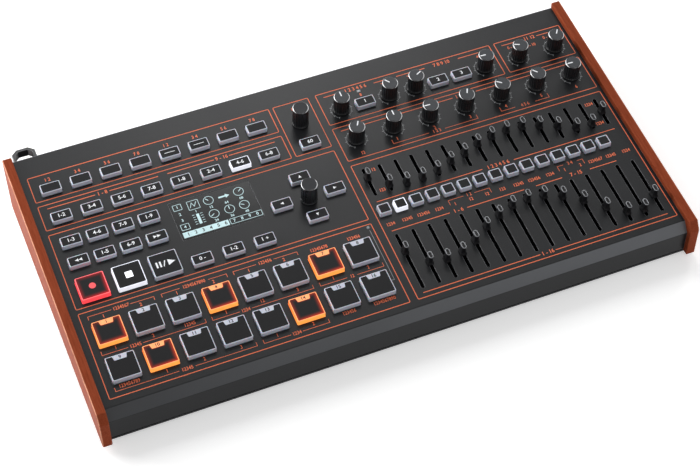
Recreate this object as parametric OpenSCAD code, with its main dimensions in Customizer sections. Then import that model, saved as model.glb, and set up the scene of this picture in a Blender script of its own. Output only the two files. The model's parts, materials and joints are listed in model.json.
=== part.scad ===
// Desktop drum machine with a sloped metal control panel between two wooden cheeks.
// X runs to the player's right, Y to the rear and Z up. The origin is on the surface it stands on,
// under the middle of its outline. On the panel, u runs right from the left cheek's outer face,
// v runs up the slope from the panel's front edge and h stands off the panel's face.

/* [Body] */
// Overall width over both wooden cheeks
body_w = 498; // [480:1:620]
// Depth of the metal body from its front face to its rear face
case_d = 251.25; // [245:0.25:310]
// Height of the panel's front edge above the underside of the case
front_rise = 31; // [27:0.5:45]
// Slope of the control panel in degrees
panel_tilt = 4.77; // [2:0.01:8]
// Height of the bevel between the front face and the panel
bevel_rise = 8.9; // [4:0.1:12]
// Depth of that bevel
bevel_run = 6.5; // [3:0.1:10]
// Thickness of the folded sheet of the top cover
sheet_t = 1.5; // [1:0.1:2]
// Thickness of the bottom plate
plate_t = 1.5; // [1:0.1:2]
// Depth of the flanges that the bottom plate is screwed to
flange_d = 12; // [10:1:16]
// Depth of the flanges that the cheeks are screwed to
side_flange_h = 12; // [10:0.5:12.5]

/* [Cheeks and feet] */
// Thickness of a wooden cheek
cheek_t = 7.7; // [6:0.1:10]
// How far a cheek stands proud of the panel
cheek_proud = 4.85; // [2:0.05:10]
// How far a cheek reaches in front of the front face
cheek_over = 4.8; // [0:0.1:8]
// Depth of the cheek's front chamfer
cheek_cut_run = 4.9; // [2:0.1:8]
// Height of the cheek's front chamfer
cheek_cut_rise = 7.8; // [3:0.1:12]
// Height of a rubber foot
foot_h = 3; // [2:0.5:8]
// Diameter of a rubber foot
foot_d = 16; // [10:1:24]

/* [Keys] */
// Width of a small key
key_w = 16.4; // [12:0.1:18]
// Length of a small key up the slope
key_l = 9.3; // [7:0.1:12]
// Height of a small key above the panel
key_h = 4; // [2:0.1:6]
// Width of a pad or transport key
pad_w = 22.6; // [16:0.1:27]
// Length of a pad or transport key up the slope
pad_l = 21.5; // [16:0.1:27]
// Height of a pad or transport key above the panel
pad_h = 4.2; // [2:0.1:6]
// Width of a voice key
voice_w = 10.2; // [8:0.1:12]
// Length of a voice key up the slope
voice_l = 9.8; // [8:0.1:12]
// Corner radius of the keys
key_r = 1; // [0.5:0.1:2]
// Travel of a small key
key_travel = 0.7; // [0.3:0.1:1]
// Travel of a pad or transport key
pad_travel = 1; // [0.3:0.1:1.5]

/* [Knobs] */
// Height of a potentiometer knob above the panel
knob_h = 16.9; // [10:0.1:20]
// Height of an encoder knob above the panel
encoder_h = 20; // [10:0.1:24]
// Radius of a knob's skirt
knob_base_r = 6.9; // [5:0.1:9]
// Radius of a knob's top
knob_top_r = 6.6; // [4:0.1:8]
// Radius of a knob's shaft
shaft_r = 3; // [2:0.1:3.5]

/* [Sliders] */
// Length of a mixer slider's slot
mixer_slot = 54.9; // [50:0.1:64]
// Travel of a mixer slider
mixer_travel = 45; // [40:1:50]
// Length of a pan slider's slot
pan_slot = 28.6; // [27.5:0.1:36]
// Travel of a pan slider
pan_travel = 22; // [16:1:23]
// Width of a slider's slot in the panel
slot_w = 3; // [2:0.1:4]
// Height of a slider cap above the panel
cap_h = 10.5; // [7:0.1:14]
// Width and length of a slider cap at its foot
cap_foot = [5.2, 8];
// Width and length of a slider cap at its top
cap_top = [3.7, 6.8];

/* [Rear] */
// Height of the sockets' centres above the underside of the case
socket_rise = 24; // [22:0.5:28]
// Bore radius of the large jack sockets
jack_bore_r = 3.25; // [3.2:0.01:3.4]
// How far the cable hook reaches behind the rear face
hook_reach = 12.1; // [8:0.1:20]
// Height of the cable hook's strip
hook_h = 7; // [4:0.5:10]
// Width over the cable hook's legs
hook_w = 19.2; // [16:0.1:24]

/* [Display] */
// Width of the display window
window_w = 67.5; // [60:0.5:68]
// Length of the display window up the slope
window_l = 38; // [30:0.5:40]

/* [Fits] */
// Clearance around each key and lamp in its cut-out
key_gap = 0.3; // [0.2:0.05:0.5]
// Running clearance of a shaft or pin in its bore
run_gap = 0.05; // [0.02:0.01:0.1]
// Room left under a key's stem at the end of its travel
stop_gap = 0.3; // [0.2:0.05:0.5]
// Distance from the panel's face down to the control board
board_drop = 13.5; // [13:0.5:16]

/* [Hidden] */
$fn = 48;

// Colours
charcoal = [0.2, 0.2, 0.21];
wood = [0.55, 0.25, 0.14];
black = [0.07, 0.07, 0.08];
milky = [0.66, 0.66, 0.74];
board_green = [0.1, 0.3, 0.18];
steel = [0.7, 0.7, 0.72];
record_red = [0.9, 0.25, 0.27];

// Places are given on a grid of the panel's usual size, and spread with the panel
grid_w = 498;
grid_l = 245.6;

// Body
panel_l = (case_d - bevel_run) / cos(panel_tilt);
spread_u = body_w / grid_w;
spread_v = panel_l / grid_l;
inner_w = body_w - 2 * cheek_t;
total_d = cheek_over + case_d + hook_reach;
cheek_front_y = -total_d / 2;
case_front_y = cheek_front_y + cheek_over;
case_back_y = case_front_y + case_d;
panel_y = case_front_y + bevel_run;
panel_z = foot_h + front_rise;
back_z = panel_z + panel_l * sin(panel_tilt);
bevel_angle = atan2(bevel_rise, bevel_run);
cover_z = foot_h + plate_t;
ground_gap = 1.4;

// Screws: radius of the shank, of the thread's hole, of the clearance hole and of the head
screw_r = 1.45;
tapped_r = screw_r + run_gap;
through_r = 1.7;
head_r = 2.6;
head_t = foot_h - ground_gap;
board_screw_r = 1.25;
cheek_screw_v = [40, 125, 195];
cheek_screw_drop = 7;
cheek_bore = 5;
bottom_screw_u = [30, 180, 320, 468];
flange_mid = sheet_t + (flange_d - sheet_t) / 2;

// Control board under the panel, held by posts
board_t = 1.6;
board_back_v = 213;
board_front_v = 6;
board_side_gap = 0.5;
post_r = 2.3;
post_bore = 5;
post_in = 13.4;
post_side_u = max(post_in, cheek_t + sheet_t + post_r + 0.3) / spread_u;
posts = [for (u = [post_side_u, 258, grid_w - post_side_u], v = [10, 83, 156, 208]) [u, v]];

// Key switches on the control board
switch_w = 6;
switch_h = 3.5;
plunger_r = 1.6;
plunger_h = 1.2;
stem_r = 1.7;
seat_gap = 0.05;
key_flange = 0.5;
key_flange_t = 0.8;
flange_top = -sheet_t - stop_gap;
flange_bottom = flange_top - key_flange_t;
plunger_top = -board_drop + seat_gap + switch_h + plunger_h;

// Key places
pad_u = [for (i = [0 : 7]) 31.7 + 29.24 * i];
rear_pads = [for (u = pad_u) [u, 61.75]];
front_pads = [for (u = pad_u) [u, 28.35]];
transport_v = 104.75;
record_place = [pad_u[0], transport_v];
stop_place = [pad_u[1], transport_v];
play_place = [pad_u[2], transport_v];
upper_places = [for (v = [207.05, 177.45], i = [0 : 7]) [28.9 + 24.88 * i, v]];
lower_places = [for (v = [151.85, 131.55], i = [0 : 3]) [28.9 + 21.2 * i, v]];
cursor_places = [[217.7, 146.75], [195, 126.55], [240.1, 126.55], [217.7, 106.85],
                 [118.8, 99.25], [144.6, 99.25], [170.5, 99.25]];
function_places = [[238.9, 177.45], [297.2, 201.3], [363.5, 201.3], [384.9, 201.3]];
channel_u = [for (i = [0 : 15]) 269.3 + 13.94 * i];
voice_places = [for (i = [0 : 14]) [channel_u[i], 93.7]];
small_places = concat(upper_places, lower_places, cursor_places, function_places);
pad_places = concat(rear_pads, front_pads, [record_place, stop_place, play_place]);

// Lamps
bar_lamp = [297.5, 216];
bar_lamp_size = [3, 2];
dot_lamp = [251.2, 83.2];
dot_lamp_r = 1.1;
lamp_proud = 0.15;

// Knob places, each with its setting in degrees clockwise from straight up the slope
tone_knobs = [[276.2, 202.3, 1], [319.4, 202.3, -37], [343, 202.3, 62],
              [407.1, 202.3, -87], [438.9, 202.3, -68], [472.4, 202.3, 34]];
tune_settings = [29, 1, -87, 26, -53, -40, -88];
tune_knobs = [for (i = [0 : 6]) [276.3 + 32.63 * i, 169, tune_settings[i]]];
tempo_place = [239.4, 201];
data_place = [217.7, 125.8];
knob_places = concat([for (k = tone_knobs) [k[0], k[1]]], [for (k = tune_knobs) [k[0], k[1]]],
                     [tempo_place, data_place]);
knob_gap = 0.5;
skirt_h = 1.1;
skirt_lip = 0.15;
edge_cut = 0.8;
pointer_w = 1.1;
pointer_l = 6;
pointer_deep = 0.3;
bushing_r = shaft_r + 0.8;
pot_w = 11;
pot_l = 12;
pot_h = 6.5;
pot_floor = 0.4;

// Sliders, each with its setting from -1 at the front stop to 1 at the rear stop
mixer_v = 41.95;
pan_v = 124.3;
mixer_settings = [0.41, -0.3, -0.4, -0.33, -0.04, 0.36, 0.66, 0.88,
                  0.94, 0.88, 0.62, 0.18, -0.38, -0.82, -0.92, -0.48];
pan_settings = [0.38, -0.73, -1, -1, -0.82, -0.38, -0.05, 0.41,
                0.69, 0.82, 0.74, 0.34, -0.21, -0.82, -0.88, -0.03];
pan_rear = [0, 7, 8, 9, 10, 11];
pan_middle = [5, 6, 12, 15];
pan_front = [1, 2, 3, 4, 13, 14];
lever_w = 1.2;
lever_l = 4;
lever_drop = 9;
lever_gap = 0.3;
lever_end_gap = 0.5;
slider_w = 8;
slider_h = 8.5;
slider_end = 3;
cap_gap = 0.8;
cap_shoulder = 0.6;

// Display
window_t = sheet_t;
window_gap = 0.15;
window_drop = 0.2;
window_place = [144.75, 141.45];
module_margin = 3.5;
module_t = 5.3;
module_leg_r = 1.8;

// Rear face: places across it, and the board that carries its sockets
socket_z = foot_h + socket_rise;
inlet_u = 38;
rocker_u = 62;
data_u = 86;
din_u = [109, 132, 155];
clock_u = [174, 186];
voice_out_u = [for (i = [0 : 14]) 201 + 11.6 * i];
jack_u = [395, 422, 449];
mini_u = concat(clock_u, voice_out_u);
rear_board_drop = 8.2;
rear_board_d = 24;
rear_board_u = [26, 470];
rear_post_u = [30, 192, 380, 464];
rear_post_in = 4;
rear_board_top = socket_z - rear_board_drop;
rear_board_y = case_back_y - sheet_t - 1 - rear_board_d;
wall_gap = 0.2;
jack_nose_r = 5;
jack_proud = 2.6;
jack_body = [16, 20, 7.8];
jack_bore_l = 21;
jack_nut = [6.5, 2];
mini_nose_r = 3;
mini_proud = 2;
mini_body = [9.6, 14, 4.5];
mini_bore_r = 1.8;
mini_bore_l = 14;
mini_nut = [4, 1.4];
din_hole_r = 7.8;
din_body = [20, 14, 9.5];
din_groove = [6, 6.9, 8];
din_pin = [1.6, 4.4, 7];
flush_proud = 0.5;
data_nose = [11.2, 10.4];
data_mouth = [8.6, 8, 11];
data_tongue = [5.6, 3.2, 9];
data_body = [12, 16, 6];
inlet_nose_r = 4;
inlet_mouth_r = 3.15;
inlet_l = 9.5;
inlet_pin_r = 1;
inlet_body = [9, 14, 5];

// Power switch: frame, cavity and rocker
bezel = [21, 15, 2];
frame = [19, 13, 14];
cavity = [16.8, 9.6, 7.5];
rocker_w = 9;
rocker_half = 7.6;
rocker_tilt = 9;
pivot_drop = 1.2;
pin_r = 0.95;
pin_end = 5.8;
pin_room = 0.3;

// Cable hook
hook_u = 19;
hook_t = 2.2;
hook_drop = 1.4;
hook_bar_half = 4.8;
hook_slant = 4.2;

// Frames of reference
module panel_frame() {
    translate([-body_w / 2, panel_y, panel_z]) rotate([panel_tilt, 0, 0]) children();
}

// A place on the panel, with Z along the panel's normal
module at(place, h = 0) {
    panel_frame() translate([place[0] * spread_u, place[1] * spread_v, h]) children();
}

// A place on the rear face, with Z pointing to the rear and Y down
module at_rear(u, z = socket_z) {
    translate([-body_w / 2 + u * spread_u, case_back_y, z]) rotate([-90, 0, 0]) children();
}

// A place on a cheek's inner face, with Z pointing into the wood
module at_cheek(side, v) {
    panel_frame() translate([side < 0 ? cheek_t : body_w - cheek_t, v * spread_v, -cheek_screw_drop])
        rotate([0, side * 90, 0]) children();
}

// A profile given as [y, z] and extruded across the case
module across(width, x = 0) {
    translate([x, 0, 0]) rotate([90, 0, 90]) linear_extrude(width, center = true) children();
}

// Shapes that repeat
module rounded_slab(w, l, h, r) {
    linear_extrude(h) {
        square([w - 2 * r, l], center = true);
        square([w, l - 2 * r], center = true);
        for (x = [-1, 1], y = [-1, 1]) translate([x * (w / 2 - r), y * (l / 2 - r)]) circle(r);
    }
}

module slot(length, width, h) {
    linear_extrude(h) {
        square([width, length - width], center = true);
        for (y = [-1, 1]) translate([0, y * (length - width) / 2]) circle(d = width);
    }
}

module ring(outer_r, inner_r, h) {
    difference() {
        cylinder(r = outer_r, h = h);
        translate([0, 0, -1]) cylinder(r = inner_r, h = h + 2);
    }
}

// A block whose middle is on the Z axis, from z0 to z1
module block(w, l, z0, z1) {
    translate([-w / 2, -l / 2, z0]) cube([w, l, z1 - z0]);
}

// Where a sheet's inner corner lies, for an outer corner p between directions a and b
function inner_corner(p, a, b) =
    p + sheet_t / cos((a - b) / 2) * [sin((a + b) / 2), -cos((a + b) / 2)];

// Top cover: one folded sheet with a front face, bevel, control panel and rear face
module cover_sheet() {
    bevel_foot = [case_front_y, panel_z - bevel_rise];
    panel_foot = [panel_y, panel_z];
    panel_head = [case_back_y, back_z];
    across(inner_w) polygon([
        [case_front_y, cover_z], bevel_foot, panel_foot, panel_head, [case_back_y, cover_z],
        [case_back_y - flange_d, cover_z], [case_back_y - flange_d, cover_z + sheet_t],
        [case_back_y - sheet_t, cover_z + sheet_t],
        inner_corner(panel_head, panel_tilt, -90),
        inner_corner(panel_foot, bevel_angle, panel_tilt),
        inner_corner(bevel_foot, 90, bevel_angle),
        [case_front_y + sheet_t, cover_z + sheet_t],
        [case_front_y + flange_d, cover_z + sheet_t], [case_front_y + flange_d, cover_z]]);
}

module side_flanges() {
    for (u = [cheek_t, body_w - cheek_t - sheet_t])
        panel_frame() translate([u, sheet_t, -sheet_t - side_flange_h])
            cube([sheet_t, panel_l - 3 * sheet_t, side_flange_h + sheet_t / 2]);
}

module panel_posts() {
    for (p = posts) at(p, -board_drop) cylinder(r = post_r, h = board_drop - sheet_t / 2);
}

module panel_cuts() {
    deep = sheet_t + 2;
    for (p = pad_places)
        at(p, -deep + 1) rounded_slab(pad_w + 2 * key_gap, pad_l + 2 * key_gap, deep, key_r);
    for (p = small_places)
        at(p, -deep + 1) rounded_slab(key_w + 2 * key_gap, key_l + 2 * key_gap, deep, key_r);
    for (p = voice_places)
        at(p, -deep + 1) rounded_slab(voice_w + 2 * key_gap, voice_l + 2 * key_gap, deep, key_r);
    for (u = channel_u) {
        at([u, mixer_v], -deep + 1) slot(mixer_slot, slot_w, deep);
        at([u, pan_v], -deep + 1) slot(pan_slot, slot_w, deep);
    }
    for (p = knob_places) at(p, -deep + 1) cylinder(r = bushing_r + key_gap, h = deep);
    at(window_place, -deep + 1)
        block(window_w + 2 * window_gap, window_l + 2 * window_gap, 0, deep);
    at(bar_lamp, -deep + 1)
        block(bar_lamp_size[0] + 2 * window_gap, bar_lamp_size[1] + 2 * window_gap, 0, deep);
    at(dot_lamp, -deep + 1) cylinder(r = dot_lamp_r + window_gap, h = deep);
    for (p = posts) at(p, -board_drop - 1) cylinder(r = board_screw_r + run_gap, h = post_bore + 1);
}

module rear_cuts() {
    deep = sheet_t + 2;
    for (u = jack_u) at_rear(u) translate([0, 0, -deep + 1]) cylinder(r = jack_nose_r + key_gap, h = deep);
    for (u = mini_u) at_rear(u) translate([0, 0, -deep + 1]) cylinder(r = mini_nose_r + key_gap, h = deep);
    for (u = din_u) at_rear(u) translate([0, 0, -deep + 1]) cylinder(r = din_hole_r, h = deep);
    at_rear(inlet_u) translate([0, 0, -deep + 1]) cylinder(r = inlet_nose_r + key_gap, h = deep);
    at_rear(data_u) block(data_nose[0] + 2 * key_gap, data_nose[1] + 2 * key_gap, -deep + 1, 1);
    at_rear(rocker_u) block(frame[0] + 2 * key_gap, frame[1] + 2 * key_gap, -deep + 1, 1);
}

module flange_holes(r) {
    for (u = bottom_screw_u, y = [case_front_y + flange_mid, case_back_y - flange_mid])
        translate([-body_w / 2 + u * spread_u, y, 0]) cylinder(r = r, h = cover_z + sheet_t + 2);
}

module top_panel() {
    color(charcoal) difference() {
        union() {
            cover_sheet();
            side_flanges();
            panel_posts();
        }
        panel_cuts();
        rear_cuts();
        flange_holes(tapped_r);
        for (side = [-1, 1], v = cheek_screw_v)
            at_cheek(side, v) translate([0, 0, -sheet_t - 1]) cylinder(r = through_r, h = sheet_t + 2);
    }
}

module bottom_plate() {
    color(charcoal) difference() {
        union() {
            translate([-inner_w / 2, case_front_y, foot_h]) cube([inner_w, case_d, plate_t]);
            for (u = rear_post_u)
                translate([-body_w / 2 + u * spread_u, rear_board_y + rear_post_in, foot_h + plate_t / 2])
                    cylinder(r = post_r, h = rear_board_top - board_t - foot_h - plate_t / 2);
        }
        flange_holes(through_r);
        for (u = rear_post_u)
            translate([-body_w / 2 + u * spread_u, rear_board_y + rear_post_in,
                       rear_board_top - board_t - post_bore])
                cylinder(r = board_screw_r + run_gap, h = post_bore + 1);
    }
}

module cheek(side) {
    top = function(y) panel_z + (y - panel_y) * tan(panel_tilt) + cheek_proud / cos(panel_tilt);
    cut_y = cheek_front_y + cheek_cut_run;
    color(wood) difference() {
        across(cheek_t, side * (body_w - cheek_t) / 2) polygon([
            [cheek_front_y, foot_h], [cheek_front_y, top(cut_y) - cheek_cut_rise], [cut_y, top(cut_y)],
            [case_back_y, top(case_back_y)], [case_back_y, foot_h]]);
        for (v = cheek_screw_v)
            at_cheek(side, v) translate([0, 0, -1]) cylinder(r = tapped_r, h = cheek_bore + 1);
    }
}

module rubber_feet() {
    color(black) for (x = [-1, 1], y = [-1, 1])
        translate([x * (body_w / 2 - 38), (case_front_y + case_back_y) / 2 + y * (case_d / 2 - 26), 0])
            rotate_extrude() polygon([[0, 0], [foot_d / 2 - 1, 0], [foot_d / 2, 1],
                                      [foot_d / 2, foot_h], [0, foot_h]]);
}

// A screw whose head's seat is at z = 0 and whose shank points up
module screw(r, length, head = head_t) {
    translate([0, 0, -head]) cylinder(r = head_r, h = head);
    translate([0, 0, -head / 2]) cylinder(r = r, h = length + head / 2);
}

module fasteners() {
    color(steel) {
        for (u = bottom_screw_u, y = [case_front_y + flange_mid, case_back_y - flange_mid])
            translate([-body_w / 2 + u * spread_u, y, foot_h]) screw(screw_r, plate_t + sheet_t + 1.5);
        for (side = [-1, 1], v = cheek_screw_v)
            at_cheek(side, v) translate([0, 0, -sheet_t]) screw(screw_r, sheet_t + cheek_bore - 0.5);
        for (p = posts) at(p, -board_drop - board_t) screw(board_screw_r, board_t + post_bore - 0.5);
        for (u = rear_post_u)
            translate([-body_w / 2 + u * spread_u, rear_board_y + rear_post_in, rear_board_top])
                mirror([0, 0, 1]) screw(board_screw_r, board_t + post_bore - 0.5);
        for (u = jack_u) at_rear(u) ring(jack_nut[0], jack_nose_r + seat_gap, jack_nut[1]);
        for (u = mini_u) at_rear(u) ring(mini_nut[0], mini_nose_r + seat_gap, mini_nut[1]);
    }
}

module key_switch(place) {
    at(place, -board_drop + seat_gap) {
        block(switch_w, switch_w, 0, switch_h);
        translate([0, 0, switch_h / 2]) cylinder(r = plunger_r, h = switch_h / 2 + plunger_h);
    }
}

module circuit_boards() {
    side = cheek_t + sheet_t + board_side_gap;
    color(board_green) {
        difference() {
            panel_frame() translate([side, board_front_v * spread_v, -board_drop - board_t])
                cube([body_w - 2 * side, (board_back_v - board_front_v) * spread_v, board_t]);
            for (p = posts) at(p, -board_drop - board_t - 1) cylinder(r = through_r, h = board_t + 2);
        }
        difference() {
            translate([-body_w / 2 + rear_board_u[0] * spread_u, rear_board_y, rear_board_top - board_t])
                cube([(rear_board_u[1] - rear_board_u[0]) * spread_u, rear_board_d, board_t]);
            for (u = rear_post_u)
                translate([-body_w / 2 + u * spread_u, rear_board_y + rear_post_in, rear_board_top - 3])
                    cylinder(r = through_r, h = 6);
        }
    }
    color(black) for (p = concat(pad_places, small_places, voice_places)) key_switch(p);
}

// A key: its cap, a flange under the panel that holds it in, and a stem over its switch
module key(w, l, h, travel) {
    stem_bottom = plunger_top + travel + stop_gap;
    translate([0, 0, flange_bottom]) rounded_slab(w, l, h - flange_bottom, key_r);
    translate([0, 0, flange_bottom])
        rounded_slab(w + 2 * key_flange, l + 2 * key_flange, key_flange_t, key_r + key_flange);
    translate([0, 0, stem_bottom]) cylinder(r = stem_r, h = flange_bottom + key_flange_t / 2 - stem_bottom);
}

module keys(places, w, l, h, travel, shade = milky) {
    color(shade) for (p = places) at(p) key(w, l, h, travel);
}

module small_keys(places) {
    keys(places, key_w, key_l, key_h, key_travel);
}

module pads(places, shade = milky) {
    keys(places, pad_w, pad_l, pad_h, pad_travel, shade);
}

// A knob and its shaft, with a pointer groove if it has a setting
module knob(place, height, setting = undef) {
    bottom = -board_drop + pot_floor + key_gap;
    color(black) at(place) difference() {
        rotate_extrude() polygon([
            [0, bottom], [shaft_r, bottom], [shaft_r, knob_gap], [knob_base_r, knob_gap],
            [knob_base_r, knob_gap + skirt_h], [knob_base_r - skirt_lip, knob_gap + skirt_h],
            [knob_top_r, height - edge_cut], [knob_top_r - edge_cut, height], [0, height]]);
        if (!is_undef(setting))
            rotate([0, 0, -setting])
                translate([-pointer_w / 2, knob_top_r - pointer_l, height - pointer_deep])
                    cube([pointer_w, pointer_l + 1, 1]);
    }
}

module pot_bodies() {
    floor_h = -board_drop + pot_floor;
    color(steel) for (p = knob_places) at(p) difference() {
        union() {
            block(pot_w, pot_l, -board_drop, -board_drop + pot_h);
            translate([0, 0, -board_drop + pot_h / 2])
                cylinder(r = bushing_r, h = board_drop - pot_h / 2 - stop_gap);
        }
        translate([0, 0, floor_h]) cylinder(r = shaft_r + run_gap, h = board_drop);
    }
}

module slider_body(place, slot_l, travel) {
    room = travel + lever_l + 2 * lever_end_gap;
    top = -board_drop + slider_h;
    at(place) difference() {
        block(slider_w, slot_l + 2 * slider_end, -board_drop, top);
        block(lever_w + 2 * lever_gap, room, -lever_drop - stop_gap, top + 1);
    }
}

module slider_bodies() {
    color(steel) for (u = channel_u) {
        slider_body([u, mixer_v], mixer_slot, mixer_travel);
        slider_body([u, pan_v], pan_slot, pan_travel);
    }
}

// The outline of a slider cap seen along one axis, from its foot to its top
module cap_outline(foot, top) {
    shoulder_h = cap_h - cap_shoulder;
    crown = top / 2 - cap_shoulder;
    polygon([[-foot / 2, cap_gap], [foot / 2, cap_gap], [top / 2, shoulder_h], [crown, cap_h],
             [-crown, cap_h], [-top / 2, shoulder_h]]);
}

// A slider cap on its lever, set along its travel
module slider_cap(channel, v, setting, travel) {
    reach = 2 * cap_foot[1];
    color(black) at([channel_u[channel], v]) translate([0, setting * travel / 2, 0]) {
        intersection() {
            rotate([90, 0, 0]) linear_extrude(reach, center = true) cap_outline(cap_foot[0], cap_top[0]);
            rotate([90, 0, 90]) linear_extrude(reach, center = true) cap_outline(cap_foot[1], cap_top[1]);
        }
        block(lever_w, lever_l, -lever_drop, cap_gap + 1);
    }
}

module pan_caps(channels) {
    for (c = channels) slider_cap(c, pan_v, pan_settings[c], pan_travel);
}

module display_module() {
    w = window_w + 2 * module_margin;
    l = window_l + 2 * module_margin;
    top = -window_drop - window_t;
    color(black) at(window_place) {
        block(w, l, top - module_t, top);
        for (x = [-1, 1], y = [-1, 1])
            translate([x * (w / 2 - module_leg_r - 1), y * (l / 2 - module_leg_r - 1), -board_drop])
                cylinder(r = module_leg_r, h = board_drop + top - module_t / 2);
    }
}

module display_window() {
    color([0.1, 0.12, 0.13]) {
        at(window_place) block(window_w, window_l, -window_drop - window_t, -window_drop);
        at(bar_lamp) block(bar_lamp_size[0], bar_lamp_size[1], -board_drop, lamp_proud);
        at(dot_lamp, -board_drop) cylinder(r = dot_lamp_r, h = board_drop + lamp_proud);
    }
}

// A socket's body stands on the rear board, behind the rear face; size is [width, depth, rise]
module socket_body(size) {
    translate([-size[0] / 2, -size[2], -sheet_t - wall_gap - size[1]])
        cube([size[0], size[2] + rear_board_drop, size[1]]);
}

module round_nose(r, proud) {
    translate([0, 0, -sheet_t - wall_gap - 1]) cylinder(r = r, h = sheet_t + wall_gap + 1 + proud);
}

module round_mouth(r, proud, depth) {
    translate([0, 0, proud - depth]) cylinder(r = r, h = depth + 1);
}

// A round socket: its body, a nose through the rear face and a bore from the nose's mouth
module round_socket(body, nose_r, proud, bore_r, bore_l) {
    difference() {
        union() {
            socket_body(body);
            round_nose(nose_r, proud);
        }
        round_mouth(bore_r, proud, bore_l);
    }
}

module jack_sockets() {
    color(black) for (u = jack_u)
        at_rear(u) round_socket(jack_body, jack_nose_r, jack_proud, jack_bore_r, jack_bore_l);
}

module mini_sockets() {
    color(black) for (u = mini_u)
        at_rear(u) round_socket(mini_body, mini_nose_r, mini_proud, mini_bore_r, mini_bore_l);
}

// The body with a round pocket, and the core with the contact holes on the pocket's floor
module din_socket() {
    face = -sheet_t - wall_gap;
    difference() {
        socket_body(din_body);
        round_mouth(din_groove[1], face, din_groove[2]);
    }
    difference() {
        translate([0, 0, face - din_groove[2]]) cylinder(r = din_groove[0], h = din_groove[2]);
        for (a = [0 : 45 : 180]) rotate([0, 0, a]) translate([din_pin[1], 0, 0])
            block(din_pin[0], din_pin[0], face - din_pin[2], face + 1);
    }
}

module data_socket() {
    difference() {
        union() {
            socket_body(data_body);
            block(data_nose[0], data_nose[1], -sheet_t - wall_gap - 1, flush_proud);
        }
        block(data_mouth[0], data_mouth[1], flush_proud - data_mouth[2], flush_proud + 1);
    }
    block(data_tongue[0], data_tongue[1], flush_proud - data_mouth[2] - 1,
          flush_proud - data_mouth[2] + data_tongue[2]);
}

module power_inlet() {
    round_socket(inlet_body, inlet_nose_r, flush_proud, inlet_mouth_r, inlet_l);
    translate([0, 0, flush_proud - inlet_l - 1]) cylinder(r = inlet_pin_r, h = inlet_l);
}

module switch_frame() {
    difference() {
        union() {
            block(bezel[0], bezel[1], 0, bezel[2]);
            block(frame[0], frame[1], -frame[2], bezel[2] / 2);
            translate([-frame[0] / 2, 0, -frame[2]])
                cube([frame[0], rear_board_drop, frame[2] - sheet_t - wall_gap]);
        }
        block(cavity[0], cavity[1], -cavity[2], bezel[2] + 1);
        translate([0, 0, -pivot_drop]) rotate([90, 0, 0])
            cylinder(r = pin_r + run_gap, h = 2 * (pin_end + pin_room), center = true);
    }
}

module data_sockets() {
    color(black) {
        for (u = din_u) at_rear(u) din_socket();
        at_rear(data_u) data_socket();
        at_rear(inlet_u) power_inlet();
        at_rear(rocker_u) switch_frame();
    }
}

module power_rocker() {
    color(black) at_rear(rocker_u) translate([0, 0, -pivot_drop]) rotate([90, rocker_tilt, 0]) {
        linear_extrude(rocker_w, center = true) polygon([
            [-3, -4], [3, -4], [rocker_half, -0.5], [rocker_half, 3.6], [0, 2.4],
            [-rocker_half, 3.6], [-rocker_half, -0.5]]);
        cylinder(r = pin_r, h = 2 * pin_end, center = true);
    }
}

// Half of the hook's outline in plan, inset by t
function hook_half(side, t) = [
    [side * (hook_w / 2 - t), 0], [side * (hook_w / 2 - t), hook_reach - hook_slant - t / 2],
    [side * (hook_bar_half - t / 3), hook_reach - t]];

module cable_hook() {
    outer = concat(hook_half(-1, 0), [for (i = [2 : -1 : 0]) hook_half(1, 0)[i]]);
    inner = concat(hook_half(1, hook_t), [for (i = [2 : -1 : 0]) hook_half(-1, hook_t)[i]]);
    color(black)
        translate([-body_w / 2 + hook_u * spread_u, case_back_y, back_z - hook_drop - hook_h])
            linear_extrude(hook_h) polygon(concat(outer, inner));
}

top_panel();
bottom_plate();
cheek(-1);  // cheek_left
cheek(1);  // cheek_right
rubber_feet();
fasteners();
circuit_boards();
display_module();
display_window();
slider_bodies();
pot_bodies();
jack_sockets();
mini_sockets();
data_sockets();
cable_hook();
power_rocker();
pads(rear_pads);  // pads_rear_row
pads(front_pads);  // pads_front_row
pads([record_place], record_red);  // record_key
pads([stop_place]);  // stop_key
pads([play_place]);  // play_key
small_keys(upper_places);  // upper_keys
small_keys(lower_places);  // lower_keys
small_keys(cursor_places);  // cursor_keys
small_keys(function_places);  // function_keys
keys(voice_places, voice_w, voice_l, key_h, key_travel);  // voice_keys
knob(tempo_place, encoder_h);  // tempo_knob
knob(data_place, encoder_h);  // data_knob
pan_caps(pan_rear);  // pan_caps_rear
pan_caps(pan_middle);  // pan_caps_middle
pan_caps(pan_front);  // pan_caps_front
for (i = [0 : 5])
    knob(tone_knobs[i], knob_h, tone_knobs[i][2]);
for (i = [0 : 6])
    knob(tune_knobs[i], knob_h, tune_knobs[i][2]);
for (i = [0 : 15])
    slider_cap(i, mixer_v, mixer_settings[i], mixer_travel);
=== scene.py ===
"""Finished surfaces of a desktop drum machine, built round its fixed frame.

A folded metal cover stands between two wooden cheeks. It carries backlit pads and keys, fluted
knobs, sliders, a small display and a row of rear sockets. Shapes are drawn in millimetres on one
of three flats: the sloped panel (u to the right, v up the slope, height off it), the rear face
(u to the right, y down, height to the rear) and the ground.
"""

import json
import math

import bmesh
import bpy
from bpy.props import FloatProperty, FloatVectorProperty, IntProperty, PointerProperty
from mathutils import Matrix, Vector
from mathutils.geometry import convex_hull_2d, delaunay_2d_cdt


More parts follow.
